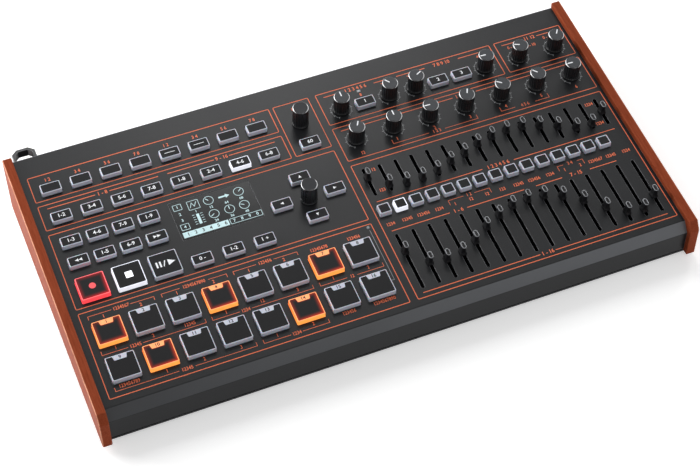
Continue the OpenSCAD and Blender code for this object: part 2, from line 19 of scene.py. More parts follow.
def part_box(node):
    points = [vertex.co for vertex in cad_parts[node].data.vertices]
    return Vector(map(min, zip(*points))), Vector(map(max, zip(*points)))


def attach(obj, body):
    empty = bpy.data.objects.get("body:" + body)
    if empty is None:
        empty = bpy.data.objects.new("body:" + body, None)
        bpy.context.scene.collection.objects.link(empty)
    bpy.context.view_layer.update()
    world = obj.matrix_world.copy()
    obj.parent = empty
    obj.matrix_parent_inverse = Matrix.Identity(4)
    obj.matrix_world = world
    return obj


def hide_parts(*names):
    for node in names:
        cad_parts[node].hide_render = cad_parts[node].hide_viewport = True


bl_info = {
    "name": "Drum Machine Surfaces",
    "version": (1, 0, 0),
    "blender": (4, 5, 0),
    "location": "3D View > Sidebar > Drum Machine",
    "description": "Builds the finished surfaces of a desktop drum machine round its frame",
    "category": "Object",
}

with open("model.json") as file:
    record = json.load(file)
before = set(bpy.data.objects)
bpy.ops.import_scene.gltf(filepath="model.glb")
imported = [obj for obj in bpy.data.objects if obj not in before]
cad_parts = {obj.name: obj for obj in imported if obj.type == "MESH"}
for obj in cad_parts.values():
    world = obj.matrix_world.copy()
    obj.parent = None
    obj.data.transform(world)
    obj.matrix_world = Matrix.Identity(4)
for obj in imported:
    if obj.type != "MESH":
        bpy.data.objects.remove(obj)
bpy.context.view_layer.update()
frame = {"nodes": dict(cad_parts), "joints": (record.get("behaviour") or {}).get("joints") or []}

# The three flats that shapes are drawn on
MM = 0.001
FOOT_H, FRONT_RISE, BEVEL_RISE, BEVEL_RUN = 3.0, 31.0, 8.9, 6.5
SHEET_T, PLATE_T, FLANGE_D, SIDE_FLANGE_H = 1.5, 1.5, 12.0, 12.0
SOCKET_RISE = 24.0
HOUSING = "housing"
COVER_LOW, COVER_HIGH = (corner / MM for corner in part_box("top_panel"))
LEFT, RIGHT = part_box("cheek_left")[0].x / MM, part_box("cheek_right")[1].x / MM
WIDTH = RIGHT - LEFT
CHEEK_T = COVER_LOW.x - LEFT
SLOPE = Vector(next(j for j in frame["joints"] if j["name"] == "mixer_cap_1_slide")["axis"])
TILT = math.atan2(SLOPE.z, SLOPE.y)
PANEL_FOOT = Vector((COVER_LOW.y + BEVEL_RUN, FOOT_H + FRONT_RISE))
PANEL_L = (COVER_HIGH.y - PANEL_FOOT.x) / math.cos(TILT)
GROUND = Matrix.Scale(MM, 4)
PANEL = (
    GROUND
    @ Matrix.Translation((LEFT, PANEL_FOOT.x, PANEL_FOOT.y))
    @ Matrix.Rotation(TILT, 4, "X")
)
REAR = (
    GROUND
    @ Matrix.Translation((LEFT, COVER_HIGH.y, FOOT_H + SOCKET_RISE))
    @ Matrix.Rotation(math.radians(-90), 4, "X")
)

# Names and sizes of the controls
KEY_NODES = (
    "pads_rear_row", "pads_front_row", "record_key", "stop_key", "play_key", "upper_keys",
    "lower_keys", "cursor_keys", "function_keys", "voice_keys",
)
TONE_KNOBS = tuple(f"tone_knob_{i}" for i in range(1, 7))
TUNE_KNOBS = tuple(f"tune_knob_{i}" for i in range(1, 8))
ENCODERS = ("tempo_knob", "data_knob")
# Degrees that each pointer is turned clockwise from straight up the slope
POINTER_TURNS = dict(
    zip(TONE_KNOBS + TUNE_KNOBS, (1, -37, 62, -87, -68, 34, 29, 1, -87, 26, -53, -40, -88))
)
KEY_FLANGE, FLANGE_T, FLANGE_TOP, STEM_R = 0.5, 0.8, -1.8, 1.7
SLOT_W, SLIDER_END = 3.0, 3.0
JACK_U = (395.0, 422.0, 449.0)
MINI_U = (174.0, 186.0, *(201.0 + 11.6 * i for i in range(15)))
DIN_U, INLET_U, DATA_U, ROCKER_U = (109.0, 132.0, 155.0), 38.0, 86.0, 62.0
JACK_NOSE, MINI_NOSE, DIN_HOLE, INLET_NOSE = 5.0, 3.0, 7.8, 4.0
DATA_NOSE, SWITCH_FRAME = (11.2, 10.4), (19.0, 13.0)


def linear(code):
    """A six-digit hex colour as the linear values that a shader takes."""
    parts = [int(code[i : i + 2], 16) / 255 for i in (0, 2, 4)]
    return tuple(c / 12.92 if c <= 0.04045 else ((c + 0.055) / 1.055) ** 2.4 for c in parts)


def colour(label, about, code):
    """A colour property."""
    return FloatVectorProperty(
        name=label, description=about, default=linear(code), subtype="COLOR", size=3,
        min=0.0, max=1.0,
    )


def length(label, about, default, top=50.0):
    """A length property, given in millimetres and kept in metres."""
    return FloatProperty(
        name=label, description=about, default=default * MM, min=0.0, max=top * MM,
        precision=5, subtype="DISTANCE", unit="LENGTH",
    )


class BodySettings(bpy.types.PropertyGroup):
    """Sizes and colours of the cover, the cheeks and the print on the panel."""

    paint: colour("Paint", "Colour of the painted sheet metal", "17181a")
    # Painted highlight: the pale colour painted along the front bevel as its sheen.
    bevel_sheen: colour("Bevel sheen", "Colour of the sheen painted along the front bevel", "6c6e72")
    ink: colour("Ink", "Colour of the frames, brackets and labels", "e8724a")
    scale_ink: colour("Scale ink", "Colour of the marks round the knobs", "8a8c8e")
    wood: colour("Wood", "Colour of the stained wood", "8e432a")
    grain: colour("Grain", "Colour of the dark lines in the wood", "6d2c17")
    fold: length("Fold radius", "Outer radius of the cover's folds", 1.75)
    deburr: length("Deburred edge", "Chamfer round each cut-out", 0.16)
    wood_edge: length("Wood edge", "Rounding of the cheeks' edges", 0.75)
    line: length("Line width", "Width of a printed frame line", 0.68)
    thin_line: length("Thin line width", "Width of a bracket or title line", 0.42)


class ControlSettings(bpy.types.PropertyGroup):
    """Sizes and colours of the keys, knobs and sliders."""

    milky: colour("Milky plastic", "Colour of the translucent key bodies", "c4c6d4")
    black: colour("Black plastic", "Colour of the key tops", "111113")
    mark: colour("Mark", "Colour of the marks on the key tops", "eef0f4")
    amber: colour("Amber light", "Colour of a lit pad", "ff7630")
    red: colour("Red light", "Colour of the lit record key", "ff4249")
    knob: colour("Knob", "Colour of the knobs' fluted sides", "17181a")
    disc: colour("Knob top", "Colour of the knobs' top discs", "3c3e41")
    picture: colour("Display light", "Colour of the display's lit segments", "cfeef2")
    rim: length("Key rim", "Width of the milky rim round a key top", 0.75)
    sink: length("Rim step", "How far the rim lies below the key top", 0.15)
    rounding: length("Key rounding", "Rounding of a key body's upper edge", 0.45)
    flute_depth: length("Flute depth", "Depth of the flutes round a knob", 0.42)
    flutes: IntProperty(
        name="Flutes", description="Number of flutes round a knob", default=20, min=8, max=40
    )


class StageSettings(bpy.types.PropertyGroup):
    """Floor, lamps and camera."""

    floor: colour("Floor", "Colour of the floor", "f2f2f2")
    ambient: FloatProperty(
        name="Ambient", description="Strength of the light from all round", default=0.38,
        min=0.0, max=2.0, subtype="FACTOR",
    )
    key: FloatProperty(
        name="Key lamp", description="Power of the large lamp behind the object", default=12.0,
        min=0.0, max=500.0, unit="POWER",
    )
    fill: FloatProperty(
        name="Fill lamp", description="Power of the lamp on the left", default=19.0, min=0.0,
        max=500.0, unit="POWER",
    )
    strip: FloatProperty(
        name="Strip lamps", description="Power of each strip lamp behind the object",
        default=8.0, min=0.0, max=500.0, unit="POWER",
    )
    front: FloatProperty(
        name="Front lamp", description="Power of the lamp in front", default=7.0, min=0.0,
        max=500.0, unit="POWER",
    )
    lens: FloatProperty(
        name="Lens", description="Focal length of the camera", default=91.28, min=10.0,
        max=300.0, unit="CAMERA",
    )


# Outlines: lists of (x, y) in millimetres, anticlockwise


def circle(radius, steps=32):
    """Points round a circle."""
    turns = [2 * math.pi * i / steps for i in range(steps)]
    return [(radius * math.cos(a), radius * math.sin(a)) for a in turns]


def rounded(width, length_, radius, steps=4):
    """A rectangle with rounded corners."""
    x, y = width / 2 - radius, length_ / 2 - radius
    points = []
    for cx, cy, start in ((x, y, 0), (-x, y, 90), (-x, -y, 180), (x, -y, 270)):
        for i in range(steps + 1):
            a = math.radians(start + 90 * i / steps)
            points.append((cx + radius * math.cos(a), cy + radius * math.sin(a)))
    return points


def fluted(radius, depth, flutes, steps=6):
    """A circle with flutes cut into it."""
    count = flutes * steps
    points = []
    for i in range(count):
        a = 2 * math.pi * i / count
        r = radius - depth * (0.5 - 0.5 * math.cos(flutes * a)) ** 1.5
        points.append((r * math.cos(a), r * math.sin(a)))
    return points


def shifted(outline, x, y):
    """An outline moved sideways."""
    return [(px + x, py + y) for px, py in outline]


def turned(outline, angle, x=0.0, y=0.0):
    """An outline turned by an angle in degrees, then moved."""
    c, s = math.cos(math.radians(angle)), math.sin(math.radians(angle))
    return [(px * c - py * s + x, px * s + py * c + y) for px, py in outline]


def stroke(points, width):
    """The outline of a line of even width through points, mitred at its corners."""
    path = [Vector(p) for p in points]
    left, right = [], []
    for i, p in enumerate(path):
        before = (p - path[i - 1]).normalized() if i else None
        after = (path[i + 1] - p).normalized() if i + 1 < len(path) else None
        a, b = before or after, after or before
        across = Vector((-a.y - b.y, a.x + b.x)).normalized()
        reach = width / 2 / max(0.3, across.dot(Vector((-a.y, a.x))))
        left.append(p + across * reach)
        right.append(p - across * reach)
    return [tuple(p) for p in right + left[::-1]]


# Solids


def ring(bm, outline, height):
    """An outline's vertices at a height."""
    return [bm.verts.new((x, y, height)) for x, y in outline]


def skin(bm, lower, upper, material=0):
    """A band of faces between two rings of as many vertices."""
    count = len(lower)
    for i in range(count):
        j = (i + 1) % count
        bm.faces.new((lower[i], lower[j], upper[j], upper[i])).material_index = material


def loft(bm, levels, hollow=False):
    """A solid through levels of (outline, height, material of the band below)."""
    rings = [ring(bm, outline, height) for outline, height, _ in levels]
    for i in range(1, len(rings)):
        skin(bm, rings[i - 1], rings[i], levels[i][2])
    if hollow:
        skin(bm, rings[-1], rings[0], levels[0][2])
        return None
    bm.faces.new(rings[0][::-1]).material_index = levels[0][2]
    top = bm.faces.new(rings[-1])
    top.material_index = levels[-1][2]
    return top


def lathe(bm, profile, x=0.0, y=0.0, steps=32, material=0, hollow=False):
    """A turned solid through (radius, height) pairs, from its foot to its top."""
    levels = [(shifted(circle(r, steps), x, y), h, material) for r, h in profile]
    return loft(bm, levels, hollow)


def slab(bm, outline, low, high, edge=0.0, segments=2, material=0, both=False):
    """A flat solid of any outline, its upper edges rounded, and its lower ones if both."""
    lower, upper = ring(bm, outline, low), ring(bm, outline, high)
    skin(bm, lower, upper, material)
    foot, top = bm.faces.new(lower[::-1]), bm.faces.new(upper)
    foot.material_index = top.material_index = material
    if edge:
        edges = list(top.edges) + (list(foot.edges) if both else [])
        bmesh.ops.bevel(
            bm, geom=edges, offset=edge, segments=segments, profile=0.5, affect="EDGES",
            clamp_overlap=True,
        )
    return top if top.is_valid else None


def box(bm, low, high, edge=0.0, material=0):
    """A box between two corners, all its edges rounded."""
    made = bmesh.ops.create_cube(bm, size=1.0)["verts"]
    low, high = Vector(low), Vector(high)
    for v in made:
        for k in range(3):
            v.co[k] = low[k] if v.co[k] < 0 else high[k]
    faces = {face for v in made for face in v.link_faces}
    for face in faces:
        face.material_index = material
    if edge:
        edges = list(dict.fromkeys(e for face in faces for e in face.edges))
        bmesh.ops.bevel(
            bm, geom=edges, offset=edge, segments=2, profile=0.5, affect="EDGES",
            clamp_overlap=True,
        )


def extruded(bm, outline, low, high, axis, edge=0.0, material=0):
    """A profile drawn on (y, z) and extruded along X, or on (x, z) along Y."""
    before = set(bm.verts)
    slab(bm, outline, low, high, edge, 2, material, both=True)
    for v in added(bm, before):
        a, b, c = v.co
        v.co = (c, a, b) if axis == "X" else (a, c, b)


def added(bm, before):
    """The vertices that weren't there before."""
    return [v for v in bm.verts if v not in before]


def move(bm, before, where):
    """Moves the vertices that weren't there before by a matrix."""
    bmesh.ops.transform(bm, matrix=where, verts=added(bm, before))


def pierced(bm, outline, holes, folds, outer, inner, edge=0.0, material=0, wall=None):
    """A sheet with holes. holes are functions of how far the outline is grown, folds are lines
    that the faces keep to, outer and inner say where a flat point lies on each side, and wall is
    the material inside the holes."""
    loops = []
    for grown, side in ((edge, outer), (0.0, inner)):
        outlines = [outline] + [hole(grown) for hole in holes]
        points = [Vector(p) for loop in outlines for p in loop]
        edges, areas, start = [], [], 0
        for loop in outlines:
            areas.append(list(range(start, start + len(loop))))
            start += len(loop)
        for a, b in folds:
            edges.append((len(points), len(points) + 1))
            points += [Vector(a), Vector(b)]
        flat, _, faces, sources, _, within = delaunay_2d_cdt(points, edges, areas, 1, 1e-6)
        verts = [bm.verts.new(side(p)) for p in flat]
        for face, origin in zip(faces, within):
            if max(origin, default=1):
                continue
            corners = [verts[i] for i in face]
            made = bm.faces.new(corners if side is outer else corners[::-1])
            made.material_index = material
        found = {source: verts[i] for i, group in enumerate(sources) for source in group}
        start, side_loops = 0, []
        for loop in outlines:
            side_loops.append([found[start + i] for i in range(len(loop))])
            start += len(loop)
        loops.append(side_loops)
    for index, (top, low) in enumerate(zip(*loops)):
        if index and edge:
            middle = [bm.verts.new(outer(p)) for p in (Vector(q) for q in holes[index - 1](0.0))]
            for i, v in enumerate(middle):
                v.co += (low[i].co - v.co).normalized() * edge
            skin(bm, top, middle, material)
            top = middle
        if index:
            skin(bm, top, low, material if wall is None else wall)
    return loops[0][0], loops[1][0]


def solids(node):
    """The lowest and highest corner on the panel of each solid of a CAD node, from the rear row
    to the front row and from left to right."""
    bm = bmesh.new()
    bm.from_mesh(frame["nodes"][node].data)
    bmesh.ops.remove_doubles(bm, verts=bm.verts, dist=1e-6)
    bmesh.ops.transform(bm, matrix=PANEL.inverted(), verts=bm.verts)
    left, found = set(bm.verts), []
    while left:
        group, edge = set(), [next(iter(left))]
        while edge:
            v = edge.pop()
            if v in group:
                continue
            group.add(v)
            edge += [e.other_vert(v) for e in v.link_edges]
        left -= group
        found.append(
            tuple(Vector(f(v.co[k] for v in group) for k in range(3)) for f in (min, max))
        )
    bm.free()
    return sorted(found, key=lambda s: (-round(s[0].y + s[1].y), s[0].x))


def middle(solid):
    """The middle of a solid on the panel."""
    low, high = solid
    return (low.x + high.x) / 2, (low.y + high.y) / 2


glyph_meshes = {}


def write(bm, text, x, y, height, size=2.6, material=0, flip=False, wide=1.0):
    """Printed figures whose middle is at a place, as a thin closed layer of ink."""
    if text not in glyph_meshes:
        curve = bpy.data.curves.new("figures", "FONT")
        curve.body, curve.size, curve.extrude = text, 1.0, 0.004
        curve.offset = 0.018
        curve.align_x, curve.align_y, curve.resolution_u = "CENTER", "CENTER", 2
        drawn = bpy.data.objects.new("figures", curve)
        bpy.context.scene.collection.objects.link(drawn)
        bpy.context.view_layer.update()
        seen = drawn.evaluated_get(bpy.context.evaluated_depsgraph_get())
        glyph_meshes[text] = bpy.data.meshes.new_from_object(seen)
        bpy.data.objects.remove(drawn)
        bpy.data.curves.remove(curve)
    turn = Matrix.Rotation(math.pi if flip else 0.0, 4, "Z")
    shape = Matrix.Diagonal((size * wide, size, size, 1.0))
    where = Matrix.Translation((x, y, height)) @ turn @ shape
    verts = [bm.verts.new(where @ v.co) for v in glyph_meshes[text].vertices]
    for polygon in glyph_meshes[text].polygons:
        bm.faces.new([verts[i] for i in polygon.vertices]).material_index = material


def piece(name, bm, where, body, materials, replaces=(), crease=35):
    """Makes a piece of a mesh drawn in millimetres, and says what it rides on."""
    bmesh.ops.recalc_face_normals(bm, faces=bm.faces)
    mesh = bpy.data.meshes.new(name)
    bm.to_mesh(mesh)
    bm.free()
    mesh.transform(where)
    for material in materials:
        mesh.materials.append(material)
    mesh.shade_smooth()
    mesh.set_sharp_from_angle(angle=math.radians(crease))
    made = bpy.data.objects.new(name, mesh)
    bpy.context.scene.collection.objects.link(made)
    made.modifiers.new("Even shading", "WEIGHTED_NORMAL").keep_sharp = True
    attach(made, body)
    if replaces:
        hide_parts(*replaces)
    return made


def repaint(node, material):
    """Gives a CAD node that stays as it is its finish."""
    node_object = frame["nodes"][node]
    node_object.data.materials.clear()
    node_object.data.materials.append(material)


# Materials


def add(tree, kind, sockets=None, **settings):
    """A shader node with its settings, and its sockets set or joined."""
    node = tree.nodes.new(kind)
    node.location = (220 * len(tree.nodes), 0)
    for name, value in settings.items():
        setattr(node, name, value)
    for name, value in (sockets or {}).items():
        if isinstance(value, bpy.types.NodeSocket):
            tree.links.new(value, node.inputs[name])
        else:
            node.inputs[name].default_value = value
    return node


def maths(tree, operation, a, b=0.0, clamp=False):
    """The result of one step of arithmetic."""
    node = add(tree, "ShaderNodeMath", {0: a, 1: b}, operation=operation, use_clamp=clamp)
    return node.outputs[0]


def blend(tree, factor, a, b, kind="MIX"):
    """Two colours mixed."""
    sockets = {"Factor": factor, "A": a, "B": b}
    node = tree.nodes.new("ShaderNodeMix")
    node.location = (220 * len(tree.nodes), 0)
    node.data_type, node.blend_type = "RGBA", kind
    for name, value in zip(("Factor", "A", "B"), sockets.values()):
        found = [s for s in node.inputs if s.name == name and s.type in ("VALUE", "RGBA")]
        socket = found[0] if name == "Factor" else [s for s in found if s.type == "RGBA"][0]
        if isinstance(value, bpy.types.NodeSocket):
            tree.links.new(value, socket)
        else:
            socket.default_value = value
    return next(s for s in node.outputs if s.type == "RGBA")


def opaque(rgb):
    """A colour with full alpha."""
    return (*rgb, 1.0)


def group(name, inputs, outputs, build):
    """A shader node group with named inputs and outputs, built once."""
    if name in bpy.data.node_groups:
        return bpy.data.node_groups[name]
    tree = bpy.data.node_groups.new(name, "ShaderNodeTree")
    for label, default in inputs:
        socket = tree.interface.new_socket(
            name=label, in_out="INPUT", socket_type="NodeSocketFloat"
        )
        socket.default_value = default
    for label in outputs:
        tree.interface.new_socket(name=label, in_out="OUTPUT", socket_type="NodeSocketFloat")
    source, sink = tree.nodes.new("NodeGroupInput"), tree.nodes.new("NodeGroupOutput")
    results = build(tree, source.outputs)
    for label in outputs:
        tree.links.new(results[label], sink.inputs[label])
    return tree


def grain_group():
    """Fine texture of moulded or painted surfaces."""

    def build(tree, given):
        place = add(tree, "ShaderNodeTexCoord").outputs["Object"]
        fine = add(
            tree, "ShaderNodeTexNoise",
            {"Vector": place, "Scale": given["Scale"], "Detail": 3.0, "Roughness": 0.6},
        ).outputs[0]
        centred = maths(tree, "SUBTRACT", fine, 0.5)
        tone = maths(tree, "MULTIPLY_ADD", centred, given["Contrast"])
        tone.node.inputs[2].default_value = 1.0
        return {"Tone": tone, "Height": fine}

    return group("Fine grain", [("Scale", 2500.0), ("Contrast", 0.3)], ["Tone", "Height"], build)


def wear_group():
    """A mask along outer edges, broken up where hands rub them."""

    def build(tree, given):
        place = add(tree, "ShaderNodeTexCoord").outputs["Object"]
        soft = add(tree, "ShaderNodeBevel", {"Radius": given["Width"]}, samples=4).outputs[0]
        hard = add(tree, "ShaderNodeNewGeometry").outputs["Normal"]
        turn = add(tree, "ShaderNodeVectorMath", {0: soft, 1: hard}, operation="DOT_PRODUCT")
        edge = maths(tree, "SUBTRACT", 1.0, turn.outputs["Value"])
        edge = maths(tree, "MULTIPLY", edge, 9.0, clamp=True)
        patchy = add(
            tree, "ShaderNodeTexNoise", {"Vector": place, "Scale": 90.0, "Detail": 4.0}
        ).outputs[0]
        patchy = maths(tree, "MULTIPLY_ADD", patchy, 1.6)
        patchy.node.inputs[2].default_value = -0.25
        mask = maths(tree, "MULTIPLY", edge, patchy, clamp=True)
        return {"Mask": maths(tree, "MULTIPLY", mask, given["Amount"])}

    return group("Edge wear", [("Width", 0.0006), ("Amount", 0.5)], ["Mask"], build)


def handling_group():
    """Slow changes of gloss where a surface is touched."""

    def build(tree, given):
        place = add(tree, "ShaderNodeTexCoord").outputs["Object"]
        slow = add(
            tree, "ShaderNodeTexNoise",
            {"Vector": place, "Scale": given["Scale"], "Detail": 5.0, "Distortion": 0.8},
        ).outputs[0]
        span = maths(tree, "SUBTRACT", slow, 0.5)
        rough = maths(tree, "MULTIPLY_ADD", span, given["Spread"])
        tree.links.new(given["Roughness"], rough.node.inputs[2])
        return {"Roughness": rough}

    inputs = [("Scale", 30.0), ("Spread", 0.2), ("Roughness", 0.5)]
    return group("Handling", inputs, ["Roughness"], build)


def speckle_group():
    """Sparse dust and pigment specks."""

    def build(tree, given):
        place = add(tree, "ShaderNodeTexCoord").outputs["Object"]
        cells = add(
            tree, "ShaderNodeTexVoronoi", {"Vector": place, "Scale": given["Scale"]}
        ).outputs["Distance"]
        dots = maths(tree, "LESS_THAN", cells, 0.12)
        return {"Mask": maths(tree, "MULTIPLY", dots, given["Amount"])}

    return group("Specks", [("Scale", 1500.0), ("Amount", 0.1)], ["Mask"], build)


def placed(tree, shared, **values):
    """A shared group placed in a material with its own values."""
    node = tree.nodes.new("ShaderNodeGroup")
    node.location = (220 * len(tree.nodes), 0)
    node.node_tree = shared
    for name, value in values.items():
        node.inputs[name.capitalize()].default_value = value
    return node.outputs


def surface(
    name, base, roughness, *, metallic=0.0, specular=0.5, grain=(2500.0, 0.25, 0.02),
    handled=(30.0, 0.15), wear=(0.0005, 0.3), worn=None, specks=0.0, coat=0.0,
    subsurface=0.0, tint=None,
):
    """A painted, moulded or metal finish. tint, given the tree and the colour so far, puts a
    pattern over it: the material's own, and in some finishes painted highlights and painted sheen."""
    if name in bpy.data.materials:
        return bpy.data.materials[name]
    material = bpy.data.materials.new(name)
    material.use_nodes = True
    tree = material.node_tree
    shader = tree.nodes["Principled BSDF"]
    fine = placed(tree, grain_group(), scale=grain[0], contrast=grain[1])
    tone = add(
        tree, "ShaderNodeVectorMath", {0: base, 3: fine["Tone"]}, operation="SCALE"
    ).outputs[0]
    shade = tint(tree, tone) if tint else tone
    if specks:
        dots = placed(tree, speckle_group(), amount=specks)["Mask"]
        shade = blend(tree, dots, shade, opaque(linear("c9c9c9")))
    if worn is not None:
        mask = placed(tree, wear_group(), width=wear[0], amount=wear[1])["Mask"]
        shade = blend(tree, mask, shade, opaque(worn))
    tree.links.new(shade, shader.inputs["Base Color"])
    rough = placed(
        tree, handling_group(), scale=handled[0], spread=handled[1], roughness=roughness
    )["Roughness"]
    tree.links.new(rough, shader.inputs["Roughness"])
    bump = add(
        tree, "ShaderNodeBump",
        {"Height": fine["Height"], "Distance": grain[2] * MM, "Strength": 1.0},
    )
    tree.links.new(bump.outputs[0], shader.inputs["Normal"])
    shader.inputs["Metallic"].default_value = metallic
    shader.inputs["Specular IOR Level"].default_value = specular
    shader.inputs["Coat Weight"].default_value = coat
    shader.inputs["Coat Roughness"].default_value = 0.12
    if subsurface:
        shader.inputs["Subsurface Weight"].default_value = subsurface
        shader.inputs["Subsurface Scale"].default_value = 0.002
    return material


def glowing(name, base, light, strength, rim=None, near=None):
    """A milky finish lit from within, with a light of its own on the rim and at the front, where
    the mesh holds those values."""
    material = surface(name, base, 0.42, grain=(1800.0, 0.08, 0.01), specular=0.25)
    tree = material.node_tree
    shader = tree.nodes["Principled BSDF"]
    ahead = add(tree, "ShaderNodeAttribute", attribute_name="front").outputs["Fac"]
    shade = blend(tree, ahead, opaque(light), opaque(near or light))
    value = add(tree, "ShaderNodeAttribute", attribute_name="glow").outputs["Fac"]
    shade = blend(tree, value, shade, opaque(rim or light))
    fade = placed(tree, handling_group(), scale=260.0, spread=0.5, roughness=1.0)["Roughness"]
    dimmed = add(tree, "ShaderNodeVectorMath", {0: shade, 3: fade}, operation="SCALE").outputs[0]
    tree.links.new(dimmed, shader.inputs["Emission Color"])
    shader.inputs["Emission Strength"].default_value = strength
    return material


def glow_through(name, base, light, strength):
    """A black top whose edges let light out where the mesh holds a glow value."""
    material = surface(name, base, 0.42, specular=0.13, grain=(2200.0, 0.3, 0.02))
    tree = material.node_tree
    shader = tree.nodes["Principled BSDF"]
    value = add(tree, "ShaderNodeAttribute", attribute_name="glow").outputs["Fac"]
    soft = maths(tree, "POWER", value, 1.6)
    light_out = add(
        tree, "ShaderNodeVectorMath", {0: light, 3: soft}, operation="SCALE"
    ).outputs[0]
    tree.links.new(light_out, shader.inputs["Emission Color"])
    shader.inputs["Emission Strength"].default_value = strength
    return material


def painted_highlight(tree, tone, light, toward, low, high):
    """A painted highlight: the colour turns pale where the surface faces one way, as if it caught a
    lamp.
    """
    normal = add(tree, "ShaderNodeNewGeometry").outputs["Normal"]
    near = add(tree, "ShaderNodeVectorMath", {0: normal, 1: toward}, operation="DOT_PRODUCT")
    mask = add(
        tree, "ShaderNodeMapRange",
        {"Value": near.outputs["Value"], "From Min": low, "From Max": high},
    ).outputs[0]
    return blend(tree, mask, tone, opaque(light))


def painted_metal():
    """Satin paint on the folded sheet, with a painted sheen along the front bevel that grows paler
    to the right, and painted highlights on folds and edges that face back, right and up.
    """
    body = bpy.context.scene.drum_body
    slope = math.atan2(BEVEL_RISE, BEVEL_RUN)

    # Painted light: the front bevel is painted paler, more so towards the right, as a sheen, and
    # edges facing back and up get painted highlights.
    def sheen_and_glints(tree, tone):
        normal = add(tree, "ShaderNodeNewGeometry").outputs["Normal"]
        bevel = (0.0, -math.sin(slope), math.cos(slope))
        near = add(tree, "ShaderNodeVectorMath", {0: normal, 1: bevel}, operation="DOT_PRODUCT")
        band = add(
            tree, "ShaderNodeMapRange",
            {"Value": near.outputs["Value"], "From Min": 0.975, "From Max": 0.998},
        ).outputs[0]
        place = add(tree, "ShaderNodeTexCoord").outputs["Object"]
        across = add(tree, "ShaderNodeSeparateXYZ", {0: place}).outputs[0]
        more = add(
            tree, "ShaderNodeMapRange",
            {"Value": across, "From Min": -0.25, "From Max": 0.25, "To Min": 0.22, "To Max": 0.75},
        ).outputs[0]
        patchy = add(
            tree, "ShaderNodeTexNoise", {"Vector": place, "Scale": 14.0, "Detail": 4.0}
        ).outputs[0]
        patchy = maths(tree, "MULTIPLY_ADD", patchy, 0.5)
        patchy.node.inputs[2].default_value = 0.75
        # Mask of the painted sheen on the bevel.
        mask = maths(tree, "MULTIPLY", maths(tree, "MULTIPLY", band, more), patchy, clamp=True)
        shade = blend(tree, mask, tone, opaque(body.bevel_sheen))
        # Painted highlights on the rear fold and on cut-out edges that face back, right and up.
        shade = painted_highlight(tree, shade, linear("55575b"), (0.5, 0.45, 0.74), 0.76, 0.87)
        return painted_highlight(tree, shade, linear("84868a"), (0.75, 0.2, 0.63), 0.8, 0.93)

    return surface(
        "Satin paint", body.paint, 0.33, specular=0.21, grain=(3200.0, 0.22, 0.012),
        handled=(9.0, 0.07), wear=(0.0005, 0.6), worn=linear("a4a6aa"), specks=0.05, tint=sheen_and_glints,
    )


def stained_wood(name="Stained wood", stain_or_edge_highlight=None):
    """Close-grained wood stained orange-brown, its grain along the depth. Given a paler colour, it
    makes the wood of the cheeks' painted edge highlight.
    """
    body = bpy.context.scene.drum_body

    def grain(tree, tone):
        place = add(tree, "ShaderNodeTexCoord").outputs["Object"]
        stretched = add(
            tree, "ShaderNodeMapping",
            {"Vector": place, "Rotation": (0.05, 0.0, 0.035), "Scale": (760.0, 16.0, 760.0)},
        ).outputs[0]
        lines = add(
            tree, "ShaderNodeTexNoise",
            {"Vector": stretched, "Scale": 1.0, "Detail": 6.0, "Roughness": 0.62},
        ).outputs[0]
        pores = add(
            tree, "ShaderNodeMapping", {"Vector": place, "Scale": (2600.0, 90.0, 2600.0)}
        ).outputs[0]
        pores = add(
            tree, "ShaderNodeTexNoise", {"Vector": pores, "Scale": 1.0, "Detail": 2.0}
        ).outputs[0]
        figure = add(
            tree, "ShaderNodeMapRange",
            {"Value": lines, "From Min": 0.36, "From Max": 0.7},
        ).outputs[0]
        dots = add(
            tree, "ShaderNodeMapRange",
            {"Value": pores, "From Min": 0.58, "From Max": 0.7},
        ).outputs[0]
        dark = maths(tree, "MULTIPLY_ADD", figure, 0.6)
        tree.links.new(maths(tree, "MULTIPLY", dots, 0.3), dark.node.inputs[2])
        return blend(tree, dark, tone, opaque(body.grain))

    # The paler worn edges are partly edge wear and partly a painted highlight along the cheeks'
    # edges.
    return surface(
        name, stain_or_edge_highlight or body.wood, 0.42, grain=(1400.0, 0.18, 0.02), handled=(24.0, 0.16),
        wear=(0.0012, 0.5), worn=linear("c8744e"), specular=0.02, tint=grain,
    )


def black_plastic():
    """Fine-textured black moulding."""
    return surface(
        "Black moulding", linear("161618"), 0.45, grain=(2600.0, 0.3, 0.02),
        worn=linear("3a3b3e"), wear=(0.0004, 0.35),
    )


def plated(name="Nickel plate", base="b9bbc0"):
    """Bright plated metal."""
    return surface(
        name, linear(base), 0.28, metallic=1.0, grain=(5200.0, 0.16, 0.004),
        handled=(60.0, 0.2), worn=linear("e4e5e8"), wear=(0.0003, 0.5),
    )


def printed(name, code):
    """A layer of ink."""
    return surface(
        name, code, 0.55, specular=0.3, grain=(4200.0, 0.22, 0.01), handled=(50.0, 0.15)
    )


# Operators


